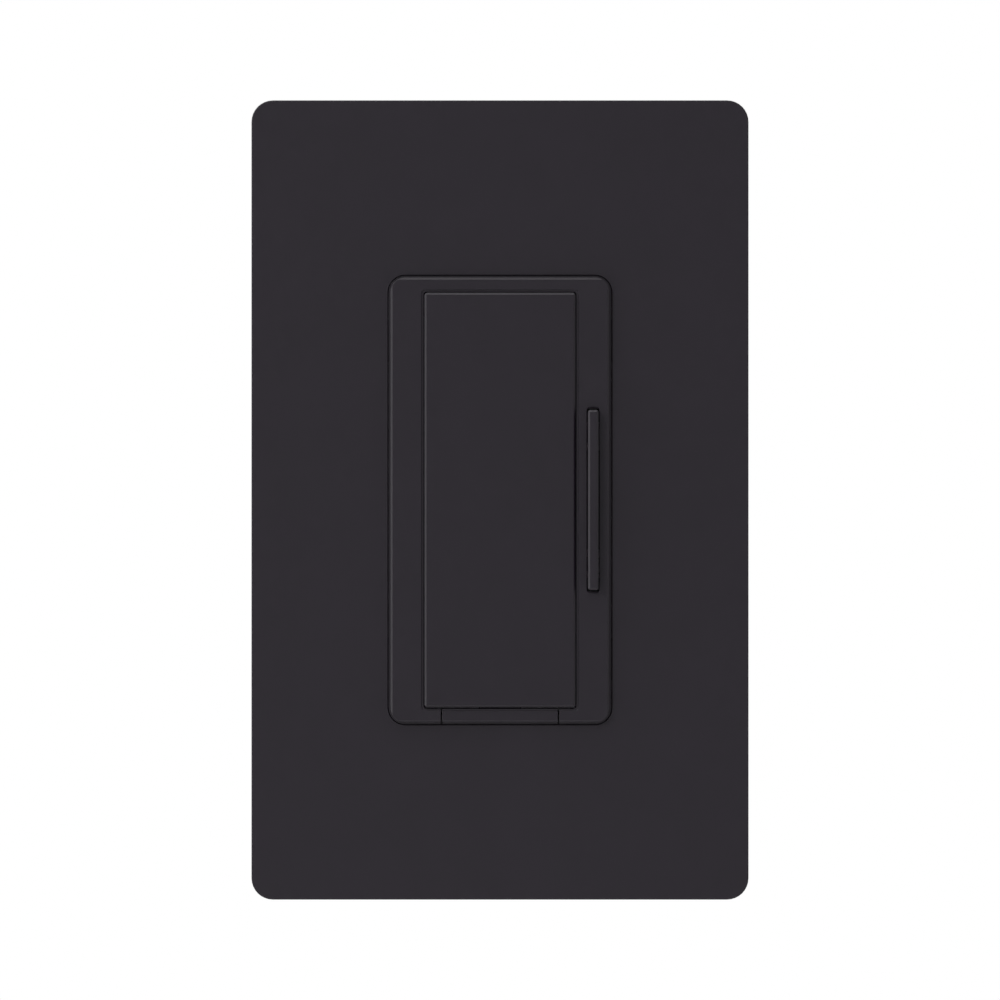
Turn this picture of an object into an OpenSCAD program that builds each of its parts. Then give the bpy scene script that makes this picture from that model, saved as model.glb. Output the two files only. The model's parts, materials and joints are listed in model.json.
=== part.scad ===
// Wall dimmer with a large tap paddle, a slim dimming rocker, a pull-out service tab and a
// screwless clip-on cover plate. +Z is up, -Y faces the room and +Y goes into the wall.
// The origin is midway between the two wall box screws, on the wall's surface (the yoke's back).

/* [Cover plate] */
// Width of the clip-on cover plate
plate_w = 74; // [60:0.5:90]
// Height of the cover plate
plate_h = 119; // [119:0.5:145]
// Distance from the wall to the cover plate's front face
plate_depth = 7.6; // [7:0.1:12]
// Thickness of the cover plate's front
plate_face = 2; // [1.5:0.1:2.2]
// Thickness of the cover plate's side walls
plate_wall = 1.8; // [1.2:0.1:2.5]
// Radius of the cover plate's four corners
plate_corner_r = 3.2; // [2:0.1:6]
// Chamfer round the cover plate's front edge
plate_edge = 0.2; // [0.2:0.1:1.4]
// Width of the opening for the device
opening_w = 33.4; // [33:0.1:40]
// Height of the opening for the device
opening_h = 67; // [60:0.1:78]
// Corner radius of the opening
opening_r = 2.6; // [1.8:0.1:4]

/* [Bezel] */
// Gap between the cover plate's opening and the bezel
cover_gap = 0.4; // [0.2:0.05:0.6]
// How far the bezel stands proud of the cover plate
bezel_proud = 1.2; // [0:0.1:1.5]
// Thickness of the bezel's front
bezel_face = 1.5; // [1.2:0.1:2]
// Thickness of the bezel's side walls
bezel_wall = 1.2; // [1:0.1:1.4]
// Height of the bezel's strips above and below the paddle
edge_strip = 1.85; // [1.6:0.05:4]

/* [Tap paddle] */
// Width of the tap paddle
paddle_w = 22.5; // [18:0.1:22.6]
// Gap all round the tap paddle
paddle_gap = 0.4; // [0.25:0.05:0.5]
// How far the paddle stands proud of the bezel
paddle_proud = 0.4; // [0:0.1:1.2]
// Thickness of the paddle's front
paddle_face = 1.6; // [1.2:0.1:2]
// Thickness of the paddle's skirt and ribs
paddle_skirt = 1; // [0.8:0.1:1.3]
// Radius of the paddle's hinge pins
hinge_r = 0.8; // [0.6:0.05:1]
// Radial running clearance of the hinge and rocker pins
pin_clearance = 0.05; // [0.02:0.01:0.1]

/* [Dimming rocker] */
// Width of the dimming rocker's bar
rocker_w = 1.6; // [1.3:0.1:1.8]
// Height of the rocker's bar
rocker_h = 26.8; // [24:0.2:36]
// Distance of the rocker from the centre line
rocker_x = 13.85; // [13.7:0.05:14.3]
// How far the rocker stands proud of the bezel
rocker_proud = 1.8; // [1:0.1:2.5]
// Distance of the two dimmer switches above and below the rocker's pivot
dimmer_z = 9.5; // [7:0.1:11]

/* [Service tab] */
// Width of the pull-out tab under the paddle
tab_w = 17.2; // [12:0.1:21]
// Travel of the tab when it is pulled out
tab_travel = 3; // [2:0.1:3.6]
// Width of the tab's stem
stem_w = 6; // [5:0.1:7]

/* [Yoke] */
// Thickness of the metal yoke
yoke_t = 1.2; // [1:0.1:1.5]
// Width of the yoke's body
yoke_w = 42; // [42:0.5:50]
// Overall height of the yoke
yoke_h = 104.8; // [104:0.2:110]
// Distance between the wall box screws
box_screw_pitch = 83.3; // [83:0.1:85]
// Radius of the wall box screw holes
box_hole_r = 2.1; // [1.9:0.05:2.4]
// Distance between the adapter screws
plate_screw_pitch = 96.8; // [96:0.1:98]

/* [Back housing] */
// Width of the back housing
housing_w = 43.5; // [43:0.1:53]
// Height of the back housing
housing_h = 69; // [68:0.5:70]
// Depth of the back housing behind the wall's surface
housing_d = 28; // [27:0.5:36]
// Thickness of the back housing's walls
housing_wall = 1.6; // [1.2:0.1:1.8]
// Height of each terminal niche
niche_h = 14; // [13:0.1:16]

/* [Hidden] */
$fn = 48;

eps = 0.01;            // overlap that joins or cuts cleanly
trim_colour = [0.19, 0.175, 0.196];
housing_colour = [0.09, 0.09, 0.1];

// Planes from the room to the wall, as Y values
plate_front = -plate_depth;
plate_inside = plate_front + plate_face;
bezel_front = plate_front - bezel_proud;
bezel_inside = bezel_front + bezel_face;
paddle_front = bezel_front - paddle_proud;
paddle_inside = paddle_front + paddle_face;
rocker_front = bezel_front - rocker_proud;
yoke_front = -yoke_t;

// Adapter plate, sized by the inside of the cover plate
adapter_fit = 0.7;     // gap between the adapter and the cover plate's walls
adapter_t = 1.6;
adapter_rim = 1.4;
adapter_front = yoke_front - adapter_t;
adapter_w = plate_w - 2 * plate_wall - 2 * adapter_fit;
adapter_h = plate_h - 2 * plate_wall - 2 * adapter_fit;
adapter_r = max(plate_corner_r - plate_wall - adapter_fit, 0.5);
adapter_ring = 1.6;    // width of the raised ring round the opening
adapter_ring_d = 0.8;  // height of that ring
relief_w = 3.2;        // width of the slots in its sides
relief_x = 2.7;        // each slot's distance from the middle of the side
latch_x = 0.3 * plate_w;
latch_w = 8;
latch_t = 1;
latch_inset = 0.4;     // latch's outer face inside the adapter's edge
latch_tip = plate_inside + 0.4;
latch_barb_d = 0.9;    // depth of the barb
latch_barb = 0.7;      // how far the barb stands out of its latch
catch_gap = 0.1;       // play between a barb and its catch
catch_bite = 0.4;      // overlap of barb and catch, which holds the plate on
catch_d = 0.8;

// Bezel
bezel_w = opening_w - 2 * cover_gap;
bezel_h = opening_h - 2 * cover_gap;
bezel_r = opening_r - cover_gap;
bezel_fit = 0.8;       // gap between the bezel and the adapter's opening
window_w = paddle_w + 2 * paddle_gap;
window_h = bezel_h - 2 * edge_strip;
cavity_w = bezel_w - 2 * bezel_wall;
cavity_h = bezel_h - 2 * bezel_wall;
hook_z = 0.36 * bezel_h;
hook_w = 6;
hook_reach = 1.9;      // how far a hook reaches behind the yoke's front
hook_barb = 0.6;
hook_slot_gap = 0.2;
groove_d = 0.15;       // depth of the shadow grooves, down to the ledge in each
ledge_t = 1;
ledge_gap = 0.08;      // clearance between a ledge and the piece beside it
ledge_end_gap = 0.18;   // the same at an end that swings past its ledge

// Tap paddle
paddle_h = window_h - 2 * paddle_gap;
paddle_corner_r = 0.5;
skirt_d = 1.8;
hinge_drop = 2.85;     // hinge axis below the paddle's top edge
hinge_y = yoke_front - 3.3;
hinge_z = paddle_h / 2 - hinge_drop;
ear_gap = 0.25;        // side play between the skirt and the bezel's ears
ear_t = 1.2;
ear_x = window_w / 2 + ear_gap;
tap_z = -1;            // height of the tap switch and its post
post_r = 1.2;
touch_gap = 0.05;      // gap between a post or foot and its plunger
rib_count = 3;

// Dimming rocker
rocker_side_gap = 0.12;
rocker_end_gap = 0.4;
pivot_r = 0.6;
pivot_y = yoke_front - 4.2;
rocker_back = pivot_y - 1;
pivot_depth = 0.65;    // how far a pivot pin enters its bearing
foot_w = 2;

// Service tab
tab_side_gap = 0.2;
tab_top_gap = 0.1;
tab_head_d = 1.7;      // depth of the tab's head
stem_t = 1.15;
stem_gap = 0.2;
stem_top = -window_h / 2 + 0.1;
stem_bottom = stem_top - stem_t;
barb_w = 0.75;         // stop barbs beyond the stem's sides
stop_play = 0.3;       // barb's distance from the yoke when the tab is fully out
stop_d = 1.2;
bridge_w = 14;
bridge_h = 2;
bridge_t = 0.7;
bridge_back = 10;      // Y of the bridge's rear face
contact_r = 1;
contact_t = 0.3;
bridge_z = stem_top + 1.8;

// Control board and its parts, in front of the yoke
insulator_t = 0.25;
control_t = 1;
control_back = yoke_front - insulator_t;
control_front = control_back - control_t;
control_gap = 0.2;     // gap between the board and the bezel's walls
control_w = cavity_w - 2 * control_gap;
control_top = cavity_h / 2 - 0.5;
control_bottom = -cavity_h / 2 + 1.3;
support_r = 0.9;       // bezel posts that hold the board down
support_x = cavity_w / 2 - 1.9;
support_z = [cavity_h / 2 - 1.3, control_bottom + 1.2];
tap_can = [6, 6, 1.8];          // width, height and depth of the tap switch's base
dimmer_can = [3.2, 4.2, 1.7];
can_cover_t = 0.2;
dimmer_x = min(rocker_x - 0.55, control_w / 2 - dimmer_can[0] / 2);
plunger_clearance = 0.15;
tap_plunger_r = 1.6;
tap_plunger_out = 0.9;          // plunger ahead of its switch cover
dimmer_plunger_r = 0.8;
dimmer_plunger_out = 0.65;
// each switch: x, z, base size, plunger radius, plunger reach, flange front and back behind the cover
tap_switch = [0, tap_z, tap_can, tap_plunger_r, tap_plunger_out, [0.1, 0.5], 0.9];
raise_switch = [dimmer_x, dimmer_z, dimmer_can, dimmer_plunger_r, dimmer_plunger_out, [0.4, 0.7], 1];
lower_switch = [dimmer_x, -dimmer_z, dimmer_can, dimmer_plunger_r, dimmer_plunger_out, [0.4, 0.7], 1];
switches = [tap_switch, raise_switch, lower_switch];
can_floor = 0.25;
dome_rise = 0.45;
dome_sheet = 0.08;
dome_steps = 5;
spring_x = 6;
spring_z = -22;
spring_r = 1.5;
spring_wire_r = 0.16;
spring_turns = 5;
spring_guide_r = 1.1;
chip = [7.5, 10.3, 1.6];        // controller chip's width, height and depth
chip_at = [-3, 14];
chip_stand = 0.2;
chip_leg_count = 8;
chip_leg_pitch = 1.27;
chip_leg_w = 0.42;
chip_leg_t = 0.25;
chip_leg_out = 1.3;
small_parts = [[6, 10], [6, 13], [6, 16], [6, 19], [-10.5, 10], [-10.5, 14], [-10.5, 18],
    [-6, -9], [-2, -9], [2, -9], [6, -9], [10, 22]];
small_size = [1.25, 2, 0.6];

// Yoke
strap_w = 26;
body_h = 76;
ear_w = 44;
body_w = max(yoke_w, housing_w - 1.5);  // reaches all four housing screws
ear_h = 9;
ear_slot_w = 0.8;
ear_slot_h = 5.6;
ear_slot_x = 14.6;
corner_r = 1.5;
screw_r = 1.74;        // outside of a #6 machine screw's thread
tapped_r = 1.76;       // the yoke's threaded holes
lug_t = 1.2;
lug_h = 7.8;
lug_d = 9.2;
lug_z = -38.9;
lug_hole_y = 5.2;
ground_head_r = 3.6;
ground_head_t = 2.3;
ground_gap = 1.9;      // room for the wire between the head and the lug

// Back housing
housing_r = 2.5;
housing_back_wall = 1.8;
housing_chamfer = 1.2;
housing_inside = housing_d - housing_back_wall;
inner_w = housing_w - 2 * housing_wall;
inner_h = housing_h - 2 * housing_wall;
column_r = 2.9;
column_x = housing_w / 2 - 3.15;
column_z = housing_h / 2 - 3.1;
housing_screw_r = 1.2;
housing_hole_r = 1.35;
screw_sink_r = 2.6;
housing_head_r = 2.4;
housing_head_t = 1.4;
niche_wall = 1.4;
niche_depth = 5.85;
niche_y = [5.5, 17.5];
niche_floor = housing_w / 2 - niche_depth;
rest_r = 1.5;          // posts that hold the power board
rest_at = [13, 27.5];
label_w = 26;
label_h = 40;
label_sink = 0.3;

// Terminals: side of the housing and height of the niche's centre
terminals = [[-1, 13], [-1, -13], [1, 13]];
term_plate_t = 1;
clamp_w = 8;
clamp_t = 1.2;
clamp_edge = 0.4;      // gap between a clamp and the niche's end
clamp_gap = 0.8;       // gap between the clamp and the terminal plate
term_y = (niche_y[0] + niche_y[1]) / 2;
term_z = niche_h / 2 - clamp_edge - clamp_w / 2;
term_screw_r = 1.86;
term_hole_r = 1.9;
term_head_r = 3.8;
term_head_t = 2.1;
tail_w = 3;
slot_play = 0.12;

// Power board and the parts that stand on it, facing the yoke
power_t = 1.6;
power_front = 20;
power_back = power_front + power_t;
power_gap = 0.35;      // gap between the board and the housing
power_w = inner_w - 2 * power_gap;
power_h = 62;
lead_r = 0.4;
lead_hole_r = 0.5;
lead_end = power_back + 0.9;
pin_x = -9;
pin_z = 4;
pin_count = 4;
pin_pitch = 2.5;
pin_size = 0.6;
pin_hole_r = 0.5;
carrier_d = 2.5;
triac_at = [5, 2.5];   // centre of the triac's plastic body
triac_body_size = [10, 9];
triac_t = 4.4;
triac_tab_h = 6.5;
triac_tab_t = 1.3;
triac_hole_r = 1.9;
triac_screw_r = 1.5;
triac_lead_pitch = 2.54;
triac_lead_drop = 2.5;
triac_leg_w = 0.6;
triac_leg_d = 0.5;
pad_t = 0.3;
choke_at = [8.5, -16];
choke_r = [4.6, 8.8];  // inside and outside radius of the core
choke_d = 6.4;
choke_wire = 0.5;      // radius of the winding's wire
choke_gap = 0.06;      // the winding's distance from the core
choke_turns = 18;
choke_arc = 300;       // degrees of the core that are wound
choke_y = 14.6;        // middle of the core
film_at = [0, 23];
film_size = [18, 8, 14];
electrolytic_at = [-8.6, -16];
electrolytic_r = 4.6;
electrolytic_d = 13;
varistor_at = [14.8, 25];
varistor_r = 4.6;
varistor_t = 3.4;
varistor_stand = 1.6;  // gap between the disc's edge and the board
opto_at = [1.5, 4.5];
opto_size = [8.6, 6.4, 3.4];
resistor_at = [0, 15.2];
resistor_r = 1.9;
resistor_l = 10;
part_stand = 0.4;      // gap under the parts on the power board
solder_r = 0.95;
solder_h = 0.6;
solder_fit = 0.01;
solder_rim = 0.7;      // how far the solder reaches beyond a flat tail
post_x = bridge_w / 2 - 1.4;
post_w = 2;
post_t = 0.8;

// ---------------------------------------------------------------- helpers

// A flat shape drawn in X and Z, from y0 back to y1
module slab(y0, y1) {
    translate([0, y1, 0]) rotate([90, 0, 0]) linear_extrude(y1 - y0) children();
}

// A flat shape drawn in Y and Z, from x0 to x1
module bar(x0, x1) {
    translate([x0, 0, 0]) rotate([90, 0, 90]) linear_extrude(x1 - x0) children();
}

module rod_y(r, y0, y1) {
    translate([0, y1, 0]) rotate([90, 0, 0]) cylinder(r = r, h = y1 - y0);
}

module rod_x(r, x0, x1) {
    translate([x0, 0, 0]) rotate([0, 90, 0]) cylinder(r = r, h = x1 - x0);
}

module box(x, y, z) {
    translate([x[0], y[0], z[0]]) cube([x[1] - x[0], y[1] - y[0], z[1] - z[0]]);
}

// A rectangle with round corners, and one with its corner circles where the others pass
module rounded(w, h, r) {
    square([w - 2 * r, h], center = true);
    square([w, h - 2 * r], center = true);
    for (x = [-1, 1], z = [-1, 1]) translate([x * (w / 2 - r), z * (h / 2 - r)]) circle(r);
}

module both_sides() {
    children();
    mirror([1, 0, 0]) children();
}

module both_ends() {
    children();
    mirror([0, 0, 1]) children();
}

module four_corners() {
    both_sides() both_ends() children();
}

// A long profile with one pair of edges cut back at 45 degrees, drawn as width by depth
module chamfered(w, y0, y1, cut) {
    polygon([[-w / 2 + cut, y0], [w / 2 - cut, y0], [w / 2, y0 + cut], [w / 2, y1],
        [-w / 2, y1], [-w / 2, y0 + cut]]);
}

// A round-cornered slab whose front edges are chamfered
module soft_slab(w, h, r, cut, y0, y1) {
    intersection() {
        slab(y0, y1) rounded(w, h, r);
        translate([0, 0, -h / 2]) linear_extrude(h) chamfered(w, y0, y1, cut);
        bar(-w / 2, w / 2) rotate(90) mirror([0, 1]) chamfered(h, y0, y1, cut);
    }
}

// Points on a circle about the origin
function ring_points(r, n) = [for (i = [0:n - 1]) r * [cos(360 * i / n), sin(360 * i / n)]];

// A tube swept along points, each with two unit vectors square to the path
module swept(path, side, up, r, sides) {
    count = len(path);
    circle_at = ring_points(r, sides);
    points = [for (i = [0:count - 1], p = circle_at) path[i] + side[i] * p[0] + up[i] * p[1]];
    walls = [for (i = [0:count - 2], k = [0:sides - 1])
        let (a = i * sides + k, b = i * sides + (k + 1) % sides) [a, b, b + sides, a + sides]];
    first = [for (k = [sides - 1:-1:0]) k];
    last = [for (k = [0:sides - 1]) (count - 1) * sides + k];
    polyhedron(points = points, faces = concat([first], walls, [last]));
}

module cross_recess(reach, w, d) {
    box([-reach, reach], [0, d], [-w, w]);
    box([-w, w], [0, d], [-reach, reach]);
}

// ---------------------------------------------------------------- cover and adapter

module cover_plate() color(trim_colour) {
    wall_z = plate_h / 2 - plate_wall;
    catch_z = adapter_h / 2 - latch_inset + latch_barb - catch_bite;
    catch_y = latch_tip + latch_barb_d + catch_gap;
    collar = 1.2;
    rib_z = [opening_h / 2 + collar - eps, wall_z + eps];
    difference() {
        union() {
            difference() {
                soft_slab(plate_w, plate_h, plate_corner_r, plate_edge, plate_front, 0);
                slab(plate_inside, eps)
                    rounded(plate_w - 2 * plate_wall, plate_h - 2 * plate_wall,
                        max(plate_corner_r - plate_wall, 0.5));
            }
            slab(plate_inside - eps, plate_inside + 1.6)
                rounded(opening_w + 2 * collar, opening_h + 2 * collar, opening_r + collar);
            four_corners() {
                box([latch_x - latch_w / 2, latch_x + latch_w / 2], [catch_y, catch_y + catch_d],
                    [catch_z, wall_z + eps]);
                box([opening_w / 3, opening_w / 3 + 1], [plate_inside - eps, plate_inside + 1.2], rib_z);
            }
        }
        slab(plate_front - eps, 0) rounded(opening_w, opening_h, opening_r);
    }
}

// One snap latch at the adapter's top edge, drawn in Y and Z
module latch_profile() {
    outer = adapter_h / 2 - latch_inset;
    inner = outer - latch_t;
    polygon([[adapter_front + 0.5, inner], [latch_tip, inner], [latch_tip, inner + latch_t / 2],
        [latch_tip + latch_barb_d, outer + latch_barb], [latch_tip + latch_barb_d, outer],
        [adapter_front + 0.5, outer]]);
}

module adapter_plate() color(housing_colour) {
    hole_w = bezel_w + 2 * bezel_fit;
    hole_h = bezel_h + 2 * bezel_fit;
    hole_r = bezel_r + bezel_fit;
    difference() {
        union() {
            difference() {
                slab(adapter_front, 0) rounded(adapter_w, adapter_h, adapter_r);
                slab(yoke_front, eps)
                    rounded(adapter_w - 2 * adapter_rim, adapter_h - 2 * adapter_rim, 0.5);
            }
            slab(adapter_front - adapter_ring_d, adapter_front + eps)
                rounded(hole_w + 2 * adapter_ring, hole_h + 2 * adapter_ring, hole_r + adapter_ring);
            four_corners() bar(latch_x - latch_w / 2, latch_x + latch_w / 2) latch_profile();
        }
        slab(adapter_front - adapter_ring_d - eps, eps) rounded(hole_w, hole_h, hole_r);
        both_ends() {
            translate([0, 0, plate_screw_pitch / 2]) rod_y(2, adapter_front - eps, yoke_front + eps);
            translate([0, 0, box_screw_pitch / 2]) rod_y(4.6, adapter_front - eps, yoke_front + eps);
        }
        // slots that lighten the sides
        both_sides() for (x = [-1, 1], z = [-1, 0, 1])
            translate([(hole_w + adapter_w) / 4 + x * relief_x, 0, z * adapter_h / 4])
                slab(adapter_front - eps, yoke_front + eps) rounded(relief_w, adapter_h / 5, 1.2);
    }
}

// A machine screw with a cross recess: its head's front face is at the origin, and it points to +Y
module machine_screw(head_r, head_t, shank_r, length) {
    recess = 0.6 * head_r;
    difference() {
        union() {
            rod_y(head_r, 0.35 * head_t, head_t);
            translate([0, 0.35 * head_t, 0]) rotate([90, 0, 0])
                cylinder(r1 = head_r, r2 = 0.78 * head_r, h = 0.35 * head_t);
            rod_y(shank_r, head_t - eps, head_t + length);
        }
        translate([0, -eps, 0]) cross_recess(recess, 0.13 * head_r, 0.6 * head_t);
    }
}

adapter_head_r = 3.1;
adapter_head_t = 2.1;
adapter_screw_l = 8;

module adapter_screws() color("dimgray") {
    both_ends() translate([0, adapter_front - adapter_head_t, plate_screw_pitch / 2])
        machine_screw(adapter_head_r, adapter_head_t, screw_r, adapter_screw_l);
}

// ---------------------------------------------------------------- bezel and its buttons

// Hinge ear on the right-hand side, with a bearing that opens towards the wall
module hinge_ear() {
    bore_r = hinge_r + pin_clearance;
    difference() {
        box([ear_x, ear_x + ear_t], [bezel_inside - eps, hinge_y + bore_r + 0.5],
            [hinge_z - bore_r - 0.6, hinge_z + bore_r + 0.6]);
        translate([0, hinge_y, hinge_z]) {
            rod_x(bore_r, ear_x - 1, ear_x + ear_t + 1);
            box([ear_x - 1, ear_x + ear_t + 1], [0, 3], [-0.8 * hinge_r, 0.8 * hinge_r]);
        }
    }
}

// Snap hook on the right-hand wall, drawn in X and Y
module hook_profile() {
    wall = [cavity_w / 2, bezel_w / 2];
    polygon([[wall[0], yoke_front - 0.5], [wall[1], yoke_front - 0.5], [wall[1], 0.15],
        [wall[1] + hook_barb, 0.15], [wall[1] - 0.2, hook_reach], [wall[0], hook_reach]]);
}

// The bezel's outline with the shoulder that closes the gap to the cover plate
module bezel_outline() {
    soft_slab(bezel_w, bezel_h, bezel_r, 0.3, bezel_front, yoke_front);
    slab(plate_front + groove_d, plate_front + groove_d + ledge_t)
        rounded(opening_w - 2 * ledge_gap, opening_h - 2 * ledge_gap, opening_r - ledge_gap);
}

module bezel() color(trim_colour) {
    rocker_slot = [rocker_w + 2 * rocker_side_gap, rocker_h + 2 * rocker_end_gap];
    bearing_x = rocker_x - rocker_w / 2 - 0.3;
    bore_r = pivot_r + pin_clearance;
    entry = 0.9 * pivot_r;
    difference() {
        union() {
            difference() {
                bezel_outline();
                slab(bezel_inside, yoke_front + eps)
                    rounded(cavity_w, cavity_h, max(bezel_r - bezel_wall, 0.3));
            }
            both_sides() {
                hinge_ear();
                for (z = support_z) translate([support_x, 0, z])
                    rod_y(support_r, bezel_inside - eps, control_front);
            }
            // inner bearing of the rocker
            box([window_w / 2 + 0.15, bearing_x], [bezel_inside - eps, pivot_y + bore_r + 0.4], [-1.6, 1.6]);
            four_corners() translate([0, 0, hook_z - hook_w / 2]) linear_extrude(hook_w) hook_profile();
        }
        // openings for the paddle and the rocker, each with a ledge behind its shadow groove
        slab(bezel_front - eps, bezel_front + groove_d) rounded(window_w, window_h, 0.4);
        translate([0, 0, (ledge_gap - ledge_end_gap) / 2]) slab(bezel_front, bezel_inside + eps)
            rounded(paddle_w + 2 * ledge_gap, paddle_h + ledge_gap + ledge_end_gap, 0.4);
        translate([rocker_x, 0, 0]) {
            slab(bezel_front - eps, bezel_front + groove_d) rounded(rocker_slot[0], rocker_slot[1], 0.5);
            slab(bezel_front, bezel_inside + eps)
                rounded(rocker_slot[0], rocker_h + 2 * ledge_end_gap, 0.4);
        }
        // bearings of the rocker, open towards the wall
        translate([0, pivot_y, 0]) {
            rod_x(bore_r, window_w / 2, cavity_w / 2 + pivot_depth);
            box([window_w / 2, cavity_w / 2 + pivot_depth], [0, yoke_front - pivot_y + eps], [-entry, entry]);
        }
        // seat of the service tab, and the groove its stem slides in
        box([-tab_w / 2 - tab_side_gap, tab_w / 2 + tab_side_gap],
            [bezel_front - eps, bezel_front + tab_head_d + 0.1], [-bezel_h, lip_top() + eps]);
        box([-stem_w / 2 - stem_gap, stem_w / 2 + stem_gap], [bezel_front, yoke_front + eps],
            [stem_bottom - stem_gap, -cavity_h / 2 + 1]);
    }
}

// Top of the ledge under the paddle, where the paddle's end swings past
function lip_top() = -paddle_h / 2 - ledge_end_gap;

module tap_paddle() color(trim_colour) {
    side = paddle_w / 2;
    skirt_back = paddle_inside + skirt_d;
    post_back = control_front - tap_can[2] - can_cover_t - tap_plunger_out - touch_gap;
    boss_z = [hinge_z - hinge_r - 0.7, hinge_z + hinge_r + 0.7];
    union() {
        soft_slab(paddle_w, paddle_h, paddle_corner_r, 0.3, paddle_front, paddle_inside);
        both_sides() {
            box([side - paddle_skirt, side], [paddle_inside - eps, skirt_back],
                [-paddle_h / 2 + paddle_corner_r, paddle_h / 2 - paddle_corner_r]);
            box([side - paddle_skirt, side], [paddle_inside - eps, hinge_y + hinge_r + 0.2], boss_z);
            translate([0, hinge_y, hinge_z]) rod_x(hinge_r, side - eps, ear_x + ear_t - 0.1);
            translate([spring_x, 0, spring_z])
                rod_y(spring_guide_r, paddle_inside - eps, paddle_inside + 1.6);
        }
        box([-side + eps, side - eps], [paddle_inside - eps, skirt_back],
            [paddle_h / 2 - paddle_corner_r - paddle_skirt, paddle_h / 2 - paddle_corner_r]);
        for (i = [1:rib_count]) let (z = paddle_h / 2 - i * paddle_h / (rib_count + 1) + 4)
            box([-side + eps, side - eps], [paddle_inside - eps, paddle_inside + 1.2],
                [z - paddle_skirt / 2, z + paddle_skirt / 2]);
        translate([0, 0, tap_z]) rod_y(post_r, paddle_inside - eps, post_back);
    }
}

// A compression spring along Y, from y0 to y1
module coil(r, wire_r, turns, y0, y1, steps = 14) {
    count = turns * steps;
    pitch = (y1 - y0) / count;
    angle = [for (i = [0:count]) 360 * i / steps];
    swept([for (i = [0:count]) [r * cos(angle[i]), y0 + i * pitch, r * sin(angle[i])]],
        [for (a = angle) [cos(a), 0, sin(a)]], [for (a = angle) [0, 1, 0]], wire_r, 8);
}

module paddle_springs() color("silver") {
    seat = spring_wire_r + 0.02;
    both_sides() translate([spring_x, 0, spring_z])
        coil(spring_r, spring_wire_r, spring_turns, paddle_inside + seat, control_front - seat);
}

module dimming_rocker() color(trim_colour) {
    x = [rocker_x - rocker_w / 2, rocker_x + rocker_w / 2];
    foot_back = control_front - dimmer_can[2] - can_cover_t - dimmer_plunger_out - touch_gap;
    foot_x = min(dimmer_x - dimmer_plunger_r, x[0] - 0.2);
    translate([rocker_x, 0, 0]) soft_slab(rocker_w, rocker_h, 0.4, 0.3, rocker_front, rocker_back);
    box(x, [rocker_back - eps, pivot_y + pivot_r + 0.1], [-1.4, 1.4]);
    translate([0, pivot_y, 0]) rod_x(pivot_r, x[0] - 0.95, cavity_w / 2 + pivot_depth - 0.1);
    both_ends() {
        box(x, [rocker_back - eps, foot_back], [dimmer_z - foot_w / 2, dimmer_z + foot_w / 2]);
        box([foot_x, x[0] + eps], [bezel_inside + 0.6, foot_back],
            [dimmer_z - foot_w / 2, dimmer_z + foot_w / 2]);
    }
}

module service_tab() color(trim_colour) {
    head_back = bezel_front + tab_head_d;
    stop_y = tab_travel + stop_play;
    carrier_front = bridge_back - bridge_t - 3;
    difference() {
        union() {
            intersection() {
                bezel_outline();
                box([-tab_w / 2, tab_w / 2], [bezel_front - 1, head_back],
                    [-bezel_h, -window_h / 2 - tab_top_gap]);
            }
            // lip that closes the gap under the paddle
            box([-tab_w / 2, tab_w / 2], [bezel_front + groove_d, head_back],
                [-window_h / 2 - tab_top_gap - eps, lip_top()]);
            box([-stem_w / 2, stem_w / 2], [head_back - eps, bridge_back - bridge_t],
                [stem_bottom, stem_top]);
            both_sides() translate([0, 0, stem_bottom]) linear_extrude(stem_t)
                polygon([[stem_w / 2 - 1, stop_y], [stem_w / 2 + barb_w, stop_y],
                    [stem_w / 2, stop_y + stop_d], [stem_w / 2 - 1, stop_y + stop_d]]);
            box([-stem_w / 2, stem_w / 2], [carrier_front, bridge_back - bridge_t],
                [stem_bottom, bridge_z + bridge_h / 2]);
        }
        // split that lets the stop barbs flex as the stem is pushed in
        box([-0.8, 0.8], [0.8, stop_y + stop_d + 0.6], [stem_bottom - 1, stem_top + eps]);
    }
}

module contact_bridge() color("peru") {
    box([-bridge_w / 2, bridge_w / 2], [bridge_back - bridge_t, bridge_back],
        [bridge_z - bridge_h / 2, bridge_z + bridge_h / 2]);
}

module moving_contacts() color("silver") {
    both_sides() translate([post_x, 0, bridge_z]) rod_y(contact_r, bridge_back, bridge_back + contact_t);
}

// ---------------------------------------------------------------- control board

// Slot for the header pins through a sheet or the yoke
module pin_window(y0, y1, margin) {
    w = pin_size / 2 + margin;
    h = (pin_count - 1) * pin_pitch / 2 + pin_size / 2 + margin;
    box([pin_x - w, pin_x + w], [y0, y1], [pin_z - h, pin_z + h]);
}

module at_pins() {
    for (i = [0:pin_count - 1])
        translate([pin_x, 0, pin_z + (i - (pin_count - 1) / 2) * pin_pitch]) children();
}

module control_board() color("darkgreen") {
    middle = (control_top + control_bottom) / 2;
    difference() {
        translate([0, 0, middle]) slab(control_front, control_back)
            rounded(control_w, control_top - control_bottom, 0.8);
        at_pins() rod_y(pin_hole_r, control_front - eps, control_back + eps);
    }
}

module insulator_sheet() color("ivory") {
    edge = 0.3;
    middle = (control_top + control_bottom) / 2;
    difference() {
        translate([0, 0, middle]) slab(control_back, yoke_front)
            rounded(control_w - 2 * edge, control_top - control_bottom - 2 * edge, 0.8);
        pin_window(control_back - eps, yoke_front + eps, 1);
    }
}

module controller_chip() color([0.08, 0.08, 0.09]) {
    translate([chip_at[0], 0, chip_at[1]])
        box([-chip[0] / 2, chip[0] / 2], [control_front - chip_stand - chip[2], control_front - chip_stand],
            [-chip[1] / 2, chip[1] / 2]);
}

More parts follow.
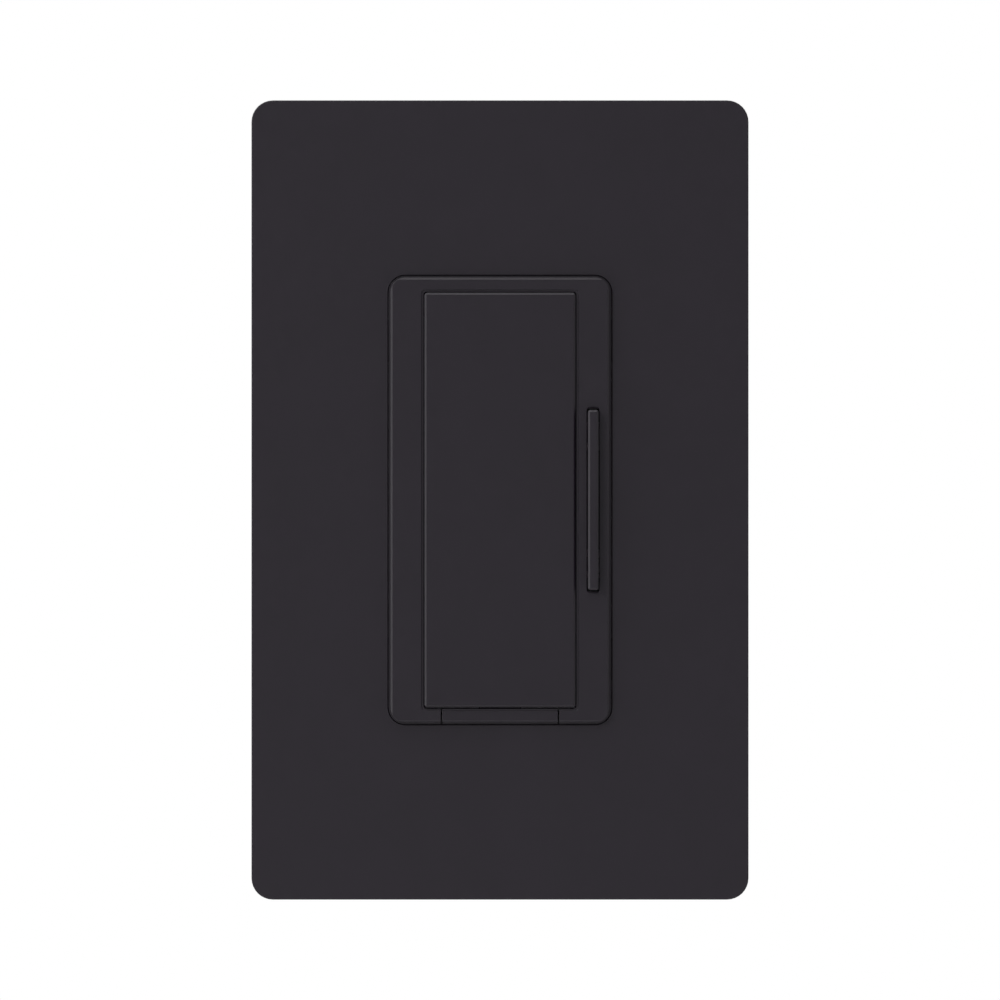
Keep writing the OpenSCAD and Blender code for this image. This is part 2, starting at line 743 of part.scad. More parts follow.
module chip_legs() color("silver") {
    half = chip[0] / 2;
    foot = control_front;
    top = control_front - chip_stand - chip[2] / 2;
    translate([chip_at[0], 0, chip_at[1]]) both_sides() for (i = [0:chip_leg_count - 1])
        translate([0, 0, (i - (chip_leg_count - 1) / 2) * chip_leg_pitch - chip_leg_w / 2])
            linear_extrude(chip_leg_w) polygon([[half, top], [half + 0.6, top],
                [half + 0.8, foot - chip_leg_t],
                [half + chip_leg_out, foot - chip_leg_t], [half + chip_leg_out, foot], [half + 0.6, foot],
                [half + 0.4, top + chip_leg_t], [half, top + chip_leg_t]]);
}

module chip_components() color("tan") {
    for (p = small_parts) translate([p[0], 0, p[1]])
        box([-small_size[0] / 2, small_size[0] / 2], [control_front - small_size[2], control_front],
            [-small_size[1] / 2, small_size[1] / 2]);
}

module switch_bases() color([0.1, 0.1, 0.11]) {
    for (s = switches) translate([s[0], 0, s[1]]) {
        can = s[2];
        difference() {
            box([-can[0] / 2, can[0] / 2], [control_front - can[2], control_front],
                [-can[1] / 2, can[1] / 2]);
            rod_y(cavity_r(s), control_front - can[2] - eps, control_front - can_floor);
        }
    }
}

function cavity_r(s) = s[2][0] / 2 - 0.35;
function cover_back(s) = control_front - s[2][2];

module switch_covers() color("silver") {
    for (s = switches) translate([s[0], 0, s[1]]) {
        can = s[2];
        difference() {
            box([-can[0] / 2, can[0] / 2], [cover_back(s) - can_cover_t, cover_back(s)],
                [-can[1] / 2, can[1] / 2]);
            rod_y(s[3] + plunger_clearance, cover_back(s) - can_cover_t - eps, cover_back(s) + eps);
        }
    }
}

// Points of the upper or lower skin of a snap dome, from its rim inwards or back out again
function dome_arc(span, rise, lift, angles) = let (r = (span * span + rise * rise) / (2 * rise))
    [for (a = angles) [r * sin(a), r * cos(a) - r + rise + lift]];

// A thin domed spring that clicks under a plunger, resting on the floor of its switch
module snap_dome(s) {
    span = cavity_r(s) - 0.15;
    height = dome_rise - dome_sheet;
    top = asin(2 * span * height / (span * span + height * height));
    rim_to_crown = [for (i = [dome_steps:-1:0]) top * i / dome_steps];
    crown_to_rim = [for (i = [0:dome_steps]) top * i / dome_steps];
    translate([s[0], control_front - can_floor, s[1]]) rotate([90, 0, 0]) rotate_extrude()
        polygon(concat(dome_arc(span, height, dome_sheet, rim_to_crown),
            dome_arc(span, height, 0, crown_to_rim)));
}

module tap_dome() color("gold") snap_dome(tap_switch);
module raise_dome() color("gold") snap_dome(raise_switch);
module lower_dome() color("gold") snap_dome(lower_switch);

module plunger(s) {
    front = cover_back(s) - can_cover_t - s[4];
    translate([s[0], 0, s[1]]) {
        rod_y(s[3], front, cover_back(s) + s[6]);
        rod_y(cavity_r(s) - 0.2, cover_back(s) + s[5][0], cover_back(s) + s[5][1]);
    }
}

module tap_plunger() color("black") plunger(tap_switch);
module raise_plunger() color("black") plunger(raise_switch);
module lower_plunger() color("black") plunger(lower_switch);

// ---------------------------------------------------------------- yoke

module yoke() color("silver") {
    difference() {
        union() {
            slab(yoke_front, 0) {
                rounded(body_w, body_h, corner_r);
                rounded(strap_w, yoke_h, corner_r);
                for (z = [-1, 1]) translate([0, z * (yoke_h - ear_h) / 2]) rounded(ear_w, ear_h, corner_r);
            }
            // ground lug, bent back from the strap's edge
            box([-strap_w / 2, -strap_w / 2 + lug_t], [yoke_front, lug_d],
                [lug_z - lug_h / 2, lug_z + lug_h / 2]);
        }
        both_ends() {
            translate([0, 0, box_screw_pitch / 2]) rod_y(box_hole_r, yoke_front - eps, eps);
            translate([0, 0, plate_screw_pitch / 2]) rod_y(tapped_r, yoke_front - eps, eps);
        }
        four_corners() {
            translate([column_x, 0, column_z]) rod_y(housing_screw_r + 0.02, yoke_front - eps, eps);
            translate([0, 0, hook_z]) box(
                [cavity_w / 2 - hook_slot_gap, bezel_w / 2 + hook_barb + hook_slot_gap],
                [yoke_front - eps, eps], [-hook_w / 2 - hook_slot_gap, hook_w / 2 + hook_slot_gap]);
            translate([ear_slot_x, 0, (yoke_h - ear_h) / 2])
                box([-ear_slot_w / 2, ear_slot_w / 2], [yoke_front - eps, eps],
                    [-ear_slot_h / 2, ear_slot_h / 2]);
        }
        box([-stem_w / 2 - stem_gap, stem_w / 2 + stem_gap], [yoke_front - eps, eps],
            [stem_bottom - stem_gap, stem_top + stem_gap]);
        pin_window(yoke_front - eps, eps, 1.5);
        translate([triac_at[0], 0, triac_hole_z()]) rod_y(triac_screw_r + 0.02, yoke_front - eps, eps);
        translate([0, lug_hole_y, lug_z]) rod_x(tapped_r, -strap_w / 2 - eps, -strap_w / 2 + lug_t + eps);
    }
}

module ground_screw() color("forestgreen") {
    translate([-strap_w / 2 - ground_gap - ground_head_t, lug_hole_y, lug_z]) rotate([0, 0, -90])
        machine_screw(ground_head_r, ground_head_t, screw_r, ground_gap + lug_t + 2);
}

module board_pins() color("gold") {
    at_pins() box([-pin_size / 2, pin_size / 2], [control_front - 0.8, lead_end],
        [-pin_size / 2, pin_size / 2]);
}

module pin_carrier() color("black") {
    front = power_front - carrier_d;
    difference() {
        pin_window(front, power_front, 0.95);
        at_pins() box([-pin_size / 2, pin_size / 2], [front - 1, power_front + 1],
            [-pin_size / 2, pin_size / 2]);
    }
}

// ---------------------------------------------------------------- power board

function triac_hole_z() = triac_at[1] + triac_body_size[1] / 2 + triac_tab_h - 3;
function triac_lead_z() = triac_at[1] - triac_body_size[1] / 2 - triac_lead_drop;

// Lead positions as [x, z], by part
triac_leads = [for (i = [-1:1]) [triac_at[0] + i * triac_lead_pitch, triac_lead_z()]];
choke_end = (360 - choke_arc + choke_arc / choke_turns) / 2;
choke_leads = [for (s = [-1, 1])
    choke_at + (choke_r[0] + choke_r[1]) / 2 * [s * sin(choke_end), cos(choke_end)]];
film_leads = [for (s = [-1, 1]) film_at + [s * 7.5, 0]];
electrolytic_leads = [for (s = [-1, 1]) electrolytic_at + [s * 1.75, 0]];
varistor_leads = [for (s = [-1, 1]) varistor_at + [s * 2.5, s * 0.8]];
opto_leads = [for (i = [-1:1], s = [-1, 1]) opto_at + [i * 2.54, s * 3.81]];
resistor_leads = [for (s = [-1, 1]) resistor_at + [s * (resistor_l / 2 + 1.6), 0]];
post_leads = [for (s = [-1, 1]) [s * post_x, bridge_z]];
board_leads = concat(film_leads, electrolytic_leads, varistor_leads, opto_leads, resistor_leads);

module lead(p, y0) {
    translate([p[0], 0, p[1]]) rod_y(lead_r, y0, lead_end);
}

module power_board() color("darkgreen") {
    difference() {
        slab(power_front, power_back) rounded(power_w, power_h, 1);
        four_corners() translate([column_x, 0, column_z])
            rod_y(column_r + power_gap, power_front - eps, power_back + eps);
        for (p = concat(board_leads, choke_leads, triac_leads, post_leads))
            translate([p[0], 0, p[1]]) rod_y(lead_hole_r, power_front - eps, power_back + eps);
        at_pins() rod_y(pin_hole_r, power_front - eps, power_back + eps);
        for (t = terminals) at_terminal(t)
            box([niche_floor - slot_play, niche_floor + term_plate_t + slot_play],
                [power_front - eps, power_back + eps], [-tail_w / 2 - slot_play, tail_w / 2 + slot_play]);
    }
}

module triac_body() color([0.1, 0.1, 0.11]) {
    x = triac_at[0];
    z = triac_at[1];
    w = triac_body_size[0] / 2;
    h = triac_body_size[1] / 2;
    box([x - w, x + w], [pad_t + triac_tab_t, pad_t + triac_t], [z - h, z + h]);
}

module triac_metal() color("silver") {
    x = triac_at[0];
    z = triac_at[1];
    w = triac_body_size[0] / 2;
    h = triac_body_size[1] / 2;
    leg = 0.4;
    leg_y = pad_t + 2.4;
    bend = triac_leg_d / 2;
    difference() {
        box([x - w, x + w], [pad_t, pad_t + triac_tab_t], [z - h, z + h + triac_tab_h]);
        translate([x, 0, triac_hole_z()]) rod_y(triac_hole_r, 0, 3);
    }
    for (p = triac_leads) {
        box([p[0] - leg, p[0] + leg], [leg_y, leg_y + triac_leg_d], [p[1] - bend, z - h]);
        box([p[0] - triac_leg_w / 2, p[0] + triac_leg_w / 2], [leg_y, lead_end], [p[1] - bend, p[1] + bend]);
    }
}

module thermal_pad() color("lightgray") {
    x = triac_at[0];
    z = triac_at[1];
    w = triac_body_size[0] / 2 + 0.8;
    h = triac_body_size[1] / 2;
    difference() {
        box([x - w, x + w], [0, pad_t], [z - h - 0.8, z + h + triac_tab_h + 0.8]);
        translate([x, 0, triac_hole_z()]) rod_y(triac_hole_r, -eps, 1);
    }
}

module triac_screw() color("silver") {
    head_t = 1.8;
    back = pad_t + triac_tab_t + head_t;
    translate([triac_at[0], back, triac_hole_z()]) mirror([0, 1, 0])
        machine_screw(2.8, head_t, triac_screw_r, back - head_t + yoke_t - 0.1);
}

module choke_core() color([0.25, 0.3, 0.28]) {
    middle = (choke_r[0] + choke_r[1]) / 2;
    translate([choke_at[0], choke_y, choke_at[1]]) rotate([90, 0, 0]) rotate_extrude()
        translate([middle, 0]) rounded(choke_r[1] - choke_r[0], choke_d, 0.8);
}

// One turn round the core's section, as a closed rectangle of wire with round corners
module winding_turn() {
    away = choke_gap + choke_wire;
    inner = choke_r[0] - away;
    outer = choke_r[1] + away;
    half = choke_d / 2 + away;
    difference() {
        box([inner - choke_wire, outer + choke_wire], [-half - choke_wire, half + choke_wire],
            [-choke_wire, choke_wire]);
        box([inner + choke_wire, outer - choke_wire], [-half + choke_wire, half - choke_wire], [-1, 1]);
    }
}

module choke_winding() color("peru") {
    step = choke_arc / choke_turns;
    translate([choke_at[0], choke_y, choke_at[1]]) for (i = [0:choke_turns - 1])
        rotate([0, 90 + (360 - choke_arc) / 2 + (i + 0.5) * step, 0]) mirror([1, 0, 0]) winding_turn();
}

module film_capacitor() color("goldenrod") {
    back = power_front - part_stand;
    translate([film_at[0], 0, film_at[1]]) slab(back - film_size[2], back)
        rounded(film_size[0], film_size[1], 0.6);
}

module electrolytic_capacitor() color("midnightblue") {
    back = power_front - part_stand;
    translate([electrolytic_at[0], 0, electrolytic_at[1]]) rod_y(electrolytic_r, back - electrolytic_d, back);
}

function varistor_y() = power_front - varistor_stand - varistor_r;

module varistor() color("royalblue") {
    translate([varistor_at[0], varistor_y(), varistor_at[1] - varistor_t / 2])
        cylinder(r = varistor_r, h = varistor_t);
}

module optocoupler() color("whitesmoke") {
    back = power_front - part_stand;
    translate([opto_at[0], 0, opto_at[1]])
        box([-opto_size[0] / 2, opto_size[0] / 2], [back - opto_size[2], back],
            [-opto_size[1] / 2, opto_size[1] / 2]);
}

module power_resistor() color("burlywood") {
    translate([resistor_at[0], power_front - part_stand - resistor_r, resistor_at[1]])
        rod_x(resistor_r, -resistor_l / 2, resistor_l / 2);
}

module component_leads() color("silver") {
    stand = power_front - part_stand;
    for (p = concat(film_leads, electrolytic_leads)) lead(p, stand);
    for (p = varistor_leads) lead(p, varistor_y() + 0.6 * varistor_r);
    for (p = opto_leads) {
        y = stand - opto_size[2] / 2;
        side = opto_at[1] + sign(p[1] - opto_at[1]) * opto_size[1] / 2;
        lead(p, y);
        box([p[0] - lead_r, p[0] + lead_r], [y - 0.25, y],
            [min(side, p[1] - lead_r), max(side, p[1] + lead_r)]);
    }
    for (s = [-1, 1], p = [resistor_at + [s * (resistor_l / 2 + 1.6), 0]]) {
        y = stand - resistor_r;
        lead(p, y);
        translate([0, y, p[1]]) rod_x(lead_r, min(p[0], s * resistor_l / 2), max(p[0], s * resistor_l / 2));
    }
    for (p = choke_leads) lead(p, choke_y + choke_d / 2 + choke_gap + 2 * choke_wire);
}

// Solder round every lead on the power board's rear face
module solder_joints() color("silver") {
    front = power_back;
    for (p = concat(board_leads, choke_leads, post_leads)) translate([p[0], front, p[1]]) difference() {
        solder_cone(solder_r);
        rod_y(lead_r + solder_fit, -1, solder_h + 1);
    }
    translate([0, front, 0]) at_pins() difference() {
        solder_cone(solder_r);
        square_hole(pin_size / 2, pin_size / 2);
    }
    for (p = triac_leads) translate([p[0], front, p[1]]) difference() {
        solder_cone(solder_r);
        square_hole(triac_leg_w / 2, triac_leg_d / 2);
    }
    for (t = terminals) translate([0, front, 0]) at_terminal(t)
        translate([niche_floor + term_plate_t / 2, 0, 0]) difference() {
            slab(0, solder_h) rounded(term_plate_t + 2 * solder_rim, tail_w + 2 * solder_rim, 0.6);
            square_hole(term_plate_t / 2, tail_w / 2);
        }
}

module solder_cone(r) {
    translate([0, solder_h, 0]) rotate([90, 0, 0]) cylinder(r1 = 0.65 * r, r2 = r, h = solder_h);
}

module square_hole(x, z) {
    box([-x - solder_fit, x + solder_fit], [-1, solder_h + 1], [-z - solder_fit, z + solder_fit]);
}

module contact_posts() color("goldenrod") {
    head = bridge_back + 2 * contact_t;
    both_sides() translate([post_x, 0, bridge_z]) {
        box([-post_w / 2, post_w / 2], [head, head + post_t], [-bridge_h / 2, bridge_h / 2]);
        box([-post_w / 2, post_w / 2], [head + post_t - eps, power_front - part_stand], [-0.3, 0.3]);
        rod_y(lead_r, power_front - part_stand - eps, lead_end);
    }
}

module fixed_contacts() color("silver") {
    both_sides() translate([post_x, 0, bridge_z])
        rod_y(contact_r, bridge_back + contact_t, bridge_back + 2 * contact_t);
}

// ---------------------------------------------------------------- back housing and terminals

// Children are drawn at the right-hand side and height 0
module at_terminal(t) {
    translate([0, 0, t[1]]) {
        if (t[0] > 0) children();
        else mirror([1, 0, 0]) children();
    }
}

module niche_box(grow) {
    box([niche_floor - grow, housing_w / 2 - (grow > 0 ? housing_wall / 2 : -1)],
        [niche_y[0] - grow, niche_y[1] + grow], [-niche_h / 2 - grow, niche_h / 2 + grow]);
}

module back_housing() color(housing_colour) {
    difference() {
        union() {
            difference() {
                mirror([0, 1, 0]) soft_slab(housing_w, housing_h, housing_r, housing_chamfer, -housing_d, 0);
                slab(-eps, housing_inside) rounded(inner_w, inner_h, housing_r - housing_wall + 0.3);
            }
            intersection() {
                slab(0, housing_inside + eps) rounded(housing_w - 1, housing_h - 1, housing_r - 0.5);
                four_corners() translate([column_x, 0, column_z]) rod_y(column_r, 0, housing_d);
            }
            four_corners() translate([rest_at[0], 0, rest_at[1]])
                rod_y(rest_r, power_back, housing_inside + eps);
            for (t = terminals) at_terminal(t) niche_box(niche_wall);
        }
        for (t = terminals) at_terminal(t) {
            niche_box(0);
            translate([0, term_y, term_z])
                rod_x(term_hole_r + 0.2, niche_floor - niche_wall + 0.4, housing_w / 2);
            box([niche_floor - eps, niche_floor + term_plate_t + slot_play], [niche_y[1] - eps, power_front],
                [-tail_w / 2 - slot_play, tail_w / 2 + slot_play]);
        }
        four_corners() translate([column_x, 0, column_z]) {
            rod_y(housing_hole_r, -eps, housing_d);
            rod_y(screw_sink_r, housing_d - housing_head_t, housing_d + eps);
        }
        slab(housing_d - label_sink, housing_d + eps) rounded(label_w, label_h, 1);
    }
}

module housing_screws() color("dimgray") {
    four_corners() translate([column_x, housing_d, column_z]) mirror([0, 1, 0])
        machine_screw(housing_head_r, housing_head_t, housing_screw_r, housing_d - housing_head_t + yoke_t - 0.1);
}

module terminal_plates() color("gold") {
    for (t = terminals) at_terminal(t) {
        difference() {
            box([niche_floor, niche_floor + term_plate_t], [niche_y[0] + 1, niche_y[1] - 0.6],
                [term_z - clamp_w / 2, term_z + clamp_w / 2]);
            translate([0, term_y, term_z]) rod_x(term_hole_r, niche_floor - 1, niche_floor + 2);
        }
        box([niche_floor, niche_floor + term_plate_t], [niche_y[1] - 0.6 - eps, lead_end],
            [-tail_w / 2, tail_w / 2]);
    }
}

module wire_clamps() color("silver") {
    x = niche_floor + term_plate_t + clamp_gap;
    for (t = terminals) at_terminal(t) difference() {
        box([x, x + clamp_t], [term_y - clamp_w / 2, term_y + clamp_w / 2],
            [term_z - clamp_w / 2, term_z + clamp_w / 2]);
        translate([0, term_y, term_z]) rod_x(term_hole_r + 0.1, x - 1, x + 3);
    }
}

module terminal_screw(t) {
    under = niche_floor + term_plate_t + clamp_gap + clamp_t;
    length = under - niche_floor + niche_wall - 0.6;
    at_terminal(t) translate([under + term_head_t, term_y, term_z]) rotate([0, 0, 90])
        machine_screw(term_head_r, term_head_t, term_screw_r, length);
}

module line_screw() color("gold") terminal_screw(terminals[0]);
module traveller_screw() color("royalblue") terminal_screw(terminals[1]);
module load_screw() color("black") terminal_screw(terminals[2]);

// ---------------------------------------------------------------- one line for each node

cover_plate();
adapter_plate();
adapter_screws();
bezel();
tap_paddle();
paddle_springs();
dimming_rocker();
service_tab();
contact_bridge();
moving_contacts();
control_board();
insulator_sheet();
controller_chip();
chip_legs();
chip_components();
switch_bases();
switch_covers();
tap_dome();
raise_dome();
lower_dome();
tap_plunger();
raise_plunger();
lower_plunger();
yoke();
ground_screw();
board_pins();
pin_carrier();
power_board();
triac_body();
triac_metal();
thermal_pad();
triac_screw();
choke_core();
choke_winding();
film_capacitor();
electrolytic_capacitor();
varistor();
optocoupler();
power_resistor();
component_leads();
solder_joints();
contact_posts();
fixed_contacts();
back_housing();
housing_screws();
terminal_plates();
wire_clamps();
line_screw();
load_screw();
traveller_screw();
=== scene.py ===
"""Wall light control: clip-on plate, tap paddle, dimming rocker, service tab and the works behind them."""
import json
import math

import bmesh
import bpy
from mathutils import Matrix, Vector


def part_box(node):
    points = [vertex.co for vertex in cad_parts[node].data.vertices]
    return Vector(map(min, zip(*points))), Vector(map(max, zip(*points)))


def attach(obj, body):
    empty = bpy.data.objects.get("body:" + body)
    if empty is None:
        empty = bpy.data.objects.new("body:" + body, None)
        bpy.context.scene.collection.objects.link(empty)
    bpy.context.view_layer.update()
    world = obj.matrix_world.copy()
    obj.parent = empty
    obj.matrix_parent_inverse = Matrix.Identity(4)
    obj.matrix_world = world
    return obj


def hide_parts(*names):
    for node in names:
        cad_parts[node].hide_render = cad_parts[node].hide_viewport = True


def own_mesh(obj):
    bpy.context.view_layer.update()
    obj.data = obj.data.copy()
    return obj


MM = 0.001
NEAR = 1e-6  # two points closer than this, in metres, are one
SHARP = math.radians(35)  # edges that turn more than this are rounded
FLAT = math.radians(0.5)  # faces that turn less than this are one flat
ROUND_WIRE = math.radians(60)  # shading angle for wound wire

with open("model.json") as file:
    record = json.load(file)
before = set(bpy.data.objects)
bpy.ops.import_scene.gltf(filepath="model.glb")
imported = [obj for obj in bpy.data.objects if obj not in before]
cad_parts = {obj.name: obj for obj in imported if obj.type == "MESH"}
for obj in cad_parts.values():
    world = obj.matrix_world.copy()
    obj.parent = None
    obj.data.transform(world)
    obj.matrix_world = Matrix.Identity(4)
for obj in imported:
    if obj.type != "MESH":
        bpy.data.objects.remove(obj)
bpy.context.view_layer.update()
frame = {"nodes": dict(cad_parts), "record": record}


# ---------------------------------------------------------------- working by hand


def deselect_all():
    bpy.ops.object.select_all(action="DESELECT")


def select_only(*objects):
    deselect_all()
    for item in objects:
        item.select_set(True)
    bpy.context.view_layer.objects.active = objects[0]


def start_editing(piece):
    select_only(piece)
    bpy.ops.object.mode_set(mode="EDIT")
    bpy.ops.mesh.select_mode(type="VERT")
    bpy.ops.mesh.select_all(action="DESELECT")


def stop_editing():
    bpy.ops.object.mode_set(mode="OBJECT")


def select_where(piece, test):
    """Selects the vertices of the piece being edited whose place passes the test."""
    mesh = bmesh.from_edit_mesh(piece.data)
    for vertex in mesh.verts:
        vertex.select = bool(test(vertex.co))
    mesh.select_flush_mode()
    mesh.select_flush(True)
    mesh.select_flush(False)
    bmesh.update_edit_mesh(piece.data)


def join_into(piece, *others):
    select_only(piece, *others)
    bpy.ops.object.join()
    piece.data.name = piece.name
    return piece


def settle(piece):
    """Applies place, turn and size, so that the piece sits at the origin with its place in its mesh."""
    select_only(piece)
    bpy.ops.object.transform_apply(location=True, rotation=True, scale=True)
    return piece


def tidy_mesh(piece):
    """Merges doubled points and turns the faces outward."""
    start_editing(piece)
    bpy.ops.mesh.select_all(action="SELECT")
    bpy.ops.mesh.remove_doubles(threshold=NEAR)
    bpy.ops.mesh.normals_make_consistent(inside=False)
    stop_editing()
    return piece


def round_edges(piece, width, segments=2, angle=SHARP):
    """Rounds every edge sharper than the angle and keeps the flats shading flat."""
    select_only(piece)
    bpy.ops.object.shade_smooth()
    bevel = piece.modifiers.new("rounding", "BEVEL")
    bevel.width = width
    bevel.segments = segments
    bevel.limit_method = "ANGLE"
    bevel.angle_limit = angle
    bevel.use_clamp_overlap = False
    bevel.loop_slide = False
    bevel.harden_normals = True
    bpy.ops.object.modifier_apply(modifier=bevel.name)
    return piece


def cad_copy(node, name):
    """A copy of a CAD node's shape with its triangles merged into one skin."""
    piece = bpy.data.objects.new(name, frame["nodes"][node].data.copy())
    piece.data.name = name
    piece.data.materials.clear()
    bpy.context.scene.collection.objects.link(piece)
    start_editing(piece)
    bpy.ops.mesh.select_all(action="SELECT")
    bpy.ops.mesh.customdata_custom_splitnormals_clear()
    bpy.ops.mesh.remove_doubles(threshold=NEAR)
    bpy.ops.mesh.tris_convert_to_quads(face_threshold=FLAT, shape_threshold=math.radians(180))
    bpy.ops.mesh.mark_sharp(clear=True)
    stop_editing()
    return piece


def finish_piece(piece, body, material, slot, *nodes):
    """Gives a finished piece its material and its CAD body, and hides the CAD nodes it stands for."""
    piece.data.materials.clear()
    piece.data.materials.append(material)
    if nodes:
        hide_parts(*nodes)
    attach(piece, body)
    return piece


def body_of(node):
    for body, members in frame["record"]["behaviour"]["bodies"].items():
        if node in members:
            return body
    raise ValueError(node)


def slot_of(node):
    for part in frame["record"]["subparts"]:
        if part["node"] == node:
            return part["material_slot"]
    raise ValueError(node)


# ---------------------------------------------------------------- surfaces


def new_surface(name, colour, roughness, metallic=0.0):
    material = bpy.data.materials.new(name)
    material.use_nodes = True
    tree = material.node_tree
    shader = tree.nodes["Principled BSDF"]
    shader.inputs["Base Color"].default_value = (*colour, 1)
    shader.inputs["Roughness"].default_value = roughness
    shader.inputs["Metallic"].default_value = metallic
    return material, tree, shader


def object_noise(tree, size, stretch=(1, 1, 1), detail=3.0, seed=0.0):
    """Noise on Object coordinates whose blotches are about the given size, in metres."""
    place = tree.nodes.new("ShaderNodeTexCoord")
    mapping = tree.nodes.new("ShaderNodeMapping")
    mapping.inputs["Scale"].default_value = stretch
    mapping.inputs["Location"].default_value = (seed, 1.7 * seed, 0.6 * seed)
    noise = tree.nodes.new("ShaderNodeTexNoise")
    noise.inputs["Scale"].default_value = 1 / size
    noise.inputs["Detail"].default_value = detail
    tree.links.new(place.outputs["Object"], mapping.inputs["Vector"])
    tree.links.new(mapping.outputs["Vector"], noise.inputs["Vector"])
    return noise


NOISE_LOW, NOISE_HIGH = 0.3, 0.7  # most of the noise lies between these
DARK_END, LIGHT_END = 0.32, 0.68


def vary_roughness(tree, shader, noise, low, high):
    spread = tree.nodes.new("ShaderNodeMapRange")
    spread.inputs["From Min"].default_value = NOISE_LOW
    spread.inputs["From Max"].default_value = NOISE_HIGH
    spread.inputs["To Min"].default_value = low
    spread.inputs["To Max"].default_value = high
    tree.links.new(noise.outputs["Fac"], spread.inputs["Value"])
    tree.links.new(spread.outputs["Result"], shader.inputs["Roughness"])


def vary_colour(tree, shader, noise, dark, light):
    ramp = tree.nodes.new("ShaderNodeValToRGB")
    ramp.color_ramp.elements[0].position = DARK_END
    ramp.color_ramp.elements[0].color = (*dark, 1)
    ramp.color_ramp.elements[1].position = LIGHT_END
    ramp.color_ramp.elements[1].color = (*light, 1)
    tree.links.new(noise.outputs["Fac"], ramp.inputs["Fac"])
    tree.links.new(ramp.outputs["Color"], shader.inputs["Base Color"])


def raise_grain(tree, shader, noise, depth):
    bump = tree.nodes.new("ShaderNodeBump")
    bump.inputs["Distance"].default_value = depth
    bump.inputs["Strength"].default_value = 1.0
    tree.links.new(noise.outputs["Fac"], bump.inputs["Height"])
    tree.links.new(bump.outputs["Normal"], shader.inputs["Normal"])


def shade(colour, factor):
    return tuple(min(1.0, c * factor) for c in colour)


def moulded_plastic(name, colour, roughness, grain=0.12 * MM, depth=0.002 * MM, spread=0.05, seed=0.0):
    """Moulded plastic: fine spark grain, faint flow mottling and a little change in gloss."""
    material, tree, shader = new_surface(name, colour, roughness)
    flow = object_noise(tree, 9 * MM, detail=4, seed=seed)
    vary_colour(tree, shader, flow, shade(colour, 0.95), shade(colour, 1.05))
    gloss = object_noise(tree, 1.6 * MM, detail=5, seed=seed + 3)
    vary_roughness(tree, shader, gloss, roughness - spread, roughness + spread)
    fine = object_noise(tree, grain, detail=2, seed=seed + 7)
    raise_grain(tree, shader, fine, depth)
    return material


def worked_metal(name, colour, roughness, stretch=(1, 1, 1), size=0.2 * MM, depth=0.0012 * MM, seed=0.0):
    """Metal with drawing or brushing marks along the axis with the smallest stretch."""
    material, tree, shader = new_surface(name, colour, roughness, metallic=1.0)
    stains = object_noise(tree, 6 * MM, detail=5, seed=seed)
    vary_colour(tree, shader, stains, shade(colour, 0.9), shade(colour, 1.06))
    marks = object_noise(tree, size, stretch=stretch, detail=4, seed=seed + 2)
    vary_roughness(tree, shader, marks, roughness - 0.08, roughness + 0.1)
    raise_grain(tree, shader, marks, depth)
    return material


def lacquered_metal(name, colour, roughness, seed=0.0):
    """Coloured lacquer over a screw: slightly uneven, with a clear gloss on top."""
    material, tree, shader = new_surface(name, colour, roughness, metallic=0.35)
    shader.inputs["Coat Weight"].default_value = 0.5
    shader.inputs["Coat Roughness"].default_value = 0.12
    patches = object_noise(tree, 0.9 * MM, detail=5, seed=seed)
    vary_colour(tree, shader, patches, shade(colour, 0.75), shade(colour, 1.2))
    vary_roughness(tree, shader, patches, roughness - 0.08, roughness + 0.1)
    raise_grain(tree, shader, object_noise(tree, 0.25 * MM, seed=seed + 1), 0.004 * MM)
    return material


